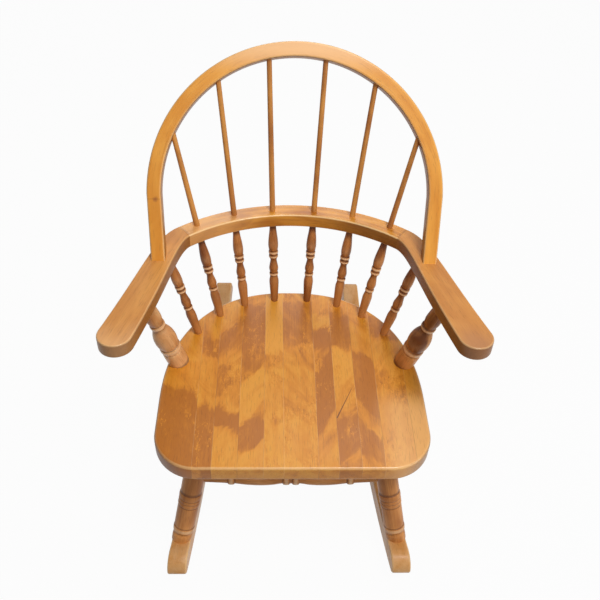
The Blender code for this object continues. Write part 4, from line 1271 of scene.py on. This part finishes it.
def add_stretchers(legs, wood):
    """Front stretcher with rings, and plain swelled side and rear stretchers."""
    plain = (((0.0, PLAIN_STRETCHER_DIAMETER), (PLAIN_STRETCHER_DIAMETER, PLAIN_STRETCHER_DIAMETER)),)
    for side in ("left", "right"):
        front = legs[side, "front"]
        rear = legs[side, "rear"]
        add_stretcher(f"{side}_stretcher", front, rear, SIDE_STRETCHER_LEG_SHARE, plain, wood)
    ends = (
        ("front", FRONT_STRETCHER_LEG_SHARE, STRETCHER_TURNING),
        ("rear", REAR_STRETCHER_LEG_SHARE, plain),
    )
    for end, share, turning in ends:
        add_stretcher(f"{end}_stretcher", legs["left", end], legs["right", end], share, turning, wood)


def seen_directly(tree):
    """1 for rays from the camera, or from gloss and glass, and 0 for the light that falls on pieces."""
    path = Tint(tree).add("ShaderNodeLightPath", {}, {}, "Is Camera Ray")
    glossy = Tint(tree, path.socket.node.outputs["Is Glossy Ray"])
    through = Tint(tree, path.socket.node.outputs["Is Transmission Ray"])
    return path.maths("MAXIMUM", path.maths("MAXIMUM", path, glossy), through)


def add_floor():
    """A wide floor that shows nearly white to the camera, with a trace of the chair's shadow."""
    shape = bmesh.new()
    bmesh.ops.create_grid(shape, x_segments=1, y_segments=1, size=FLOOR_SIZE)
    mesh = bpy.data.meshes.new("floor")
    shape.to_mesh(mesh)
    shape.free()
    material = bpy.data.materials.new("pale_floor")
    material.use_nodes = True
    tree = material.node_tree
    shader = tree.nodes["Principled BSDF"]
    shader.inputs["Base Color"].default_value = (FLOOR_TONE, FLOOR_TONE, FLOOR_TONE, 1.0)
    shader.inputs["Roughness"].default_value = FLOOR_ROUGHNESS
    white = tree.nodes.new("ShaderNodeEmission")
    mix = tree.nodes.new("ShaderNodeMixShader")
    share = FLOOR_WHITE * seen_directly(tree)
    tree.links.new(share.socket, mix.inputs["Fac"])
    tree.links.new(shader.outputs["BSDF"], mix.inputs[1])
    tree.links.new(white.outputs["Emission"], mix.inputs[2])
    tree.links.new(mix.outputs["Shader"], tree.nodes["Material Output"].inputs["Surface"])
    mesh.materials.append(material)
    floor = bpy.data.objects.new("floor", mesh)
    bpy.context.scene.collection.objects.link(floor)


def add_lamp(name, place, aim, size, power):
    """A soft square lamp that faces a point."""
    data = bpy.data.lights.new(name, "AREA")
    data.size = size
    data.energy = power
    lamp = bpy.data.objects.new(name, data)
    facing = (Vector(aim) - Vector(place)).to_track_quat("-Z", "Y")
    lamp.matrix_world = Matrix.Translation(place) @ facing.to_matrix().to_4x4()
    bpy.context.scene.collection.objects.link(lamp)


def light_studio():
    """A white surround and soft lamps, the strongest from above on the right."""
    world = bpy.data.worlds.new("studio")
    world.use_nodes = True
    bpy.context.scene.world = world
    tree = world.node_tree
    surround = tree.nodes["Background"]
    surround.inputs["Color"].default_value = (1.0, 1.0, 1.0, 1.0)
    strength = SURROUND_LIGHT + (1 - SURROUND_LIGHT) * seen_directly(tree)
    tree.links.new(strength.socket, surround.inputs["Strength"])
    for lamp in LAMPS:
        add_lamp(*lamp)


def add_camera():
    """The photograph's viewpoint, placed in the seat's frame."""
    data = bpy.data.cameras.new("camera")
    data.lens = CAMERA_LENS
    data.sensor_width = CAMERA_SENSOR
    camera = bpy.data.objects.new("camera", data)
    place = CHAIR @ Matrix.Translation(CAMERA_PLACE)
    for axis, angle in zip("ZYX", reversed(CAMERA_TURN)):
        place = place @ Matrix.Rotation(math.radians(angle), 4, axis)
    camera.matrix_world = place
    bpy.context.scene.collection.objects.link(camera)
    bpy.context.scene.camera = camera


bpy.context.scene.view_settings.view_transform = "Standard"
add_camera()
light_studio()
add_floor()
BOW_WOOD = bow_wood("bow_wood")
RAIL_WOOD = rail_wood("rail_wood")
ARM_WOOD = arm_wood("arm_wood")
ROCKER_WOOD = long_grain_wood("rocker_wood", TAN, ARM_LIGHT, PALE_WEAR_AND_HIGHLIGHT, wear_and_highlight=0.4, blotch=0.9, gloss=0.26)
SPINDLE_WOOD = spindle_wood("spindle_wood")
TURNED_WOOD = long_grain_wood("turned_wood", CHESTNUT, HAZEL, RING_WEAR_AND_HIGHLIGHT, wear_and_highlight=0.80, blotch=1.0, gloss=0.20)
# Left post: its paler tones are partly its own colour and partly painted light
LEFT_POST_TONE_AND_LIGHT = long_grain_wood("left_post_tone_and_light", TAN, AMBER, RING_WEAR_AND_HIGHLIGHT, wear_and_highlight=0.9, blotch=1.5, gloss=0.30)
# Right post: its darker tones are partly its own colour and partly painted shade from the arm above it
RIGHT_POST_TONE_AND_SHADE = long_grain_wood(
    "right_post_tone_and_shade", CHESTNUT, COCOA, RING_WEAR_AND_HIGHLIGHT, wear_and_highlight=0.9, blotch=1.8, gloss=0.20
)
add_seat()
add_rail_and_arms(RAIL_WOOD, ARM_WOOD)
add_bow(BOW_WOOD)
add_spindles(SPINDLE_WOOD)
add_posts((LEFT_POST_TONE_AND_LIGHT, RIGHT_POST_TONE_AND_SHADE))
add_rockers(ROCKER_WOOD)
add_stretchers(add_legs(TURNED_WOOD), TURNED_WOOD)
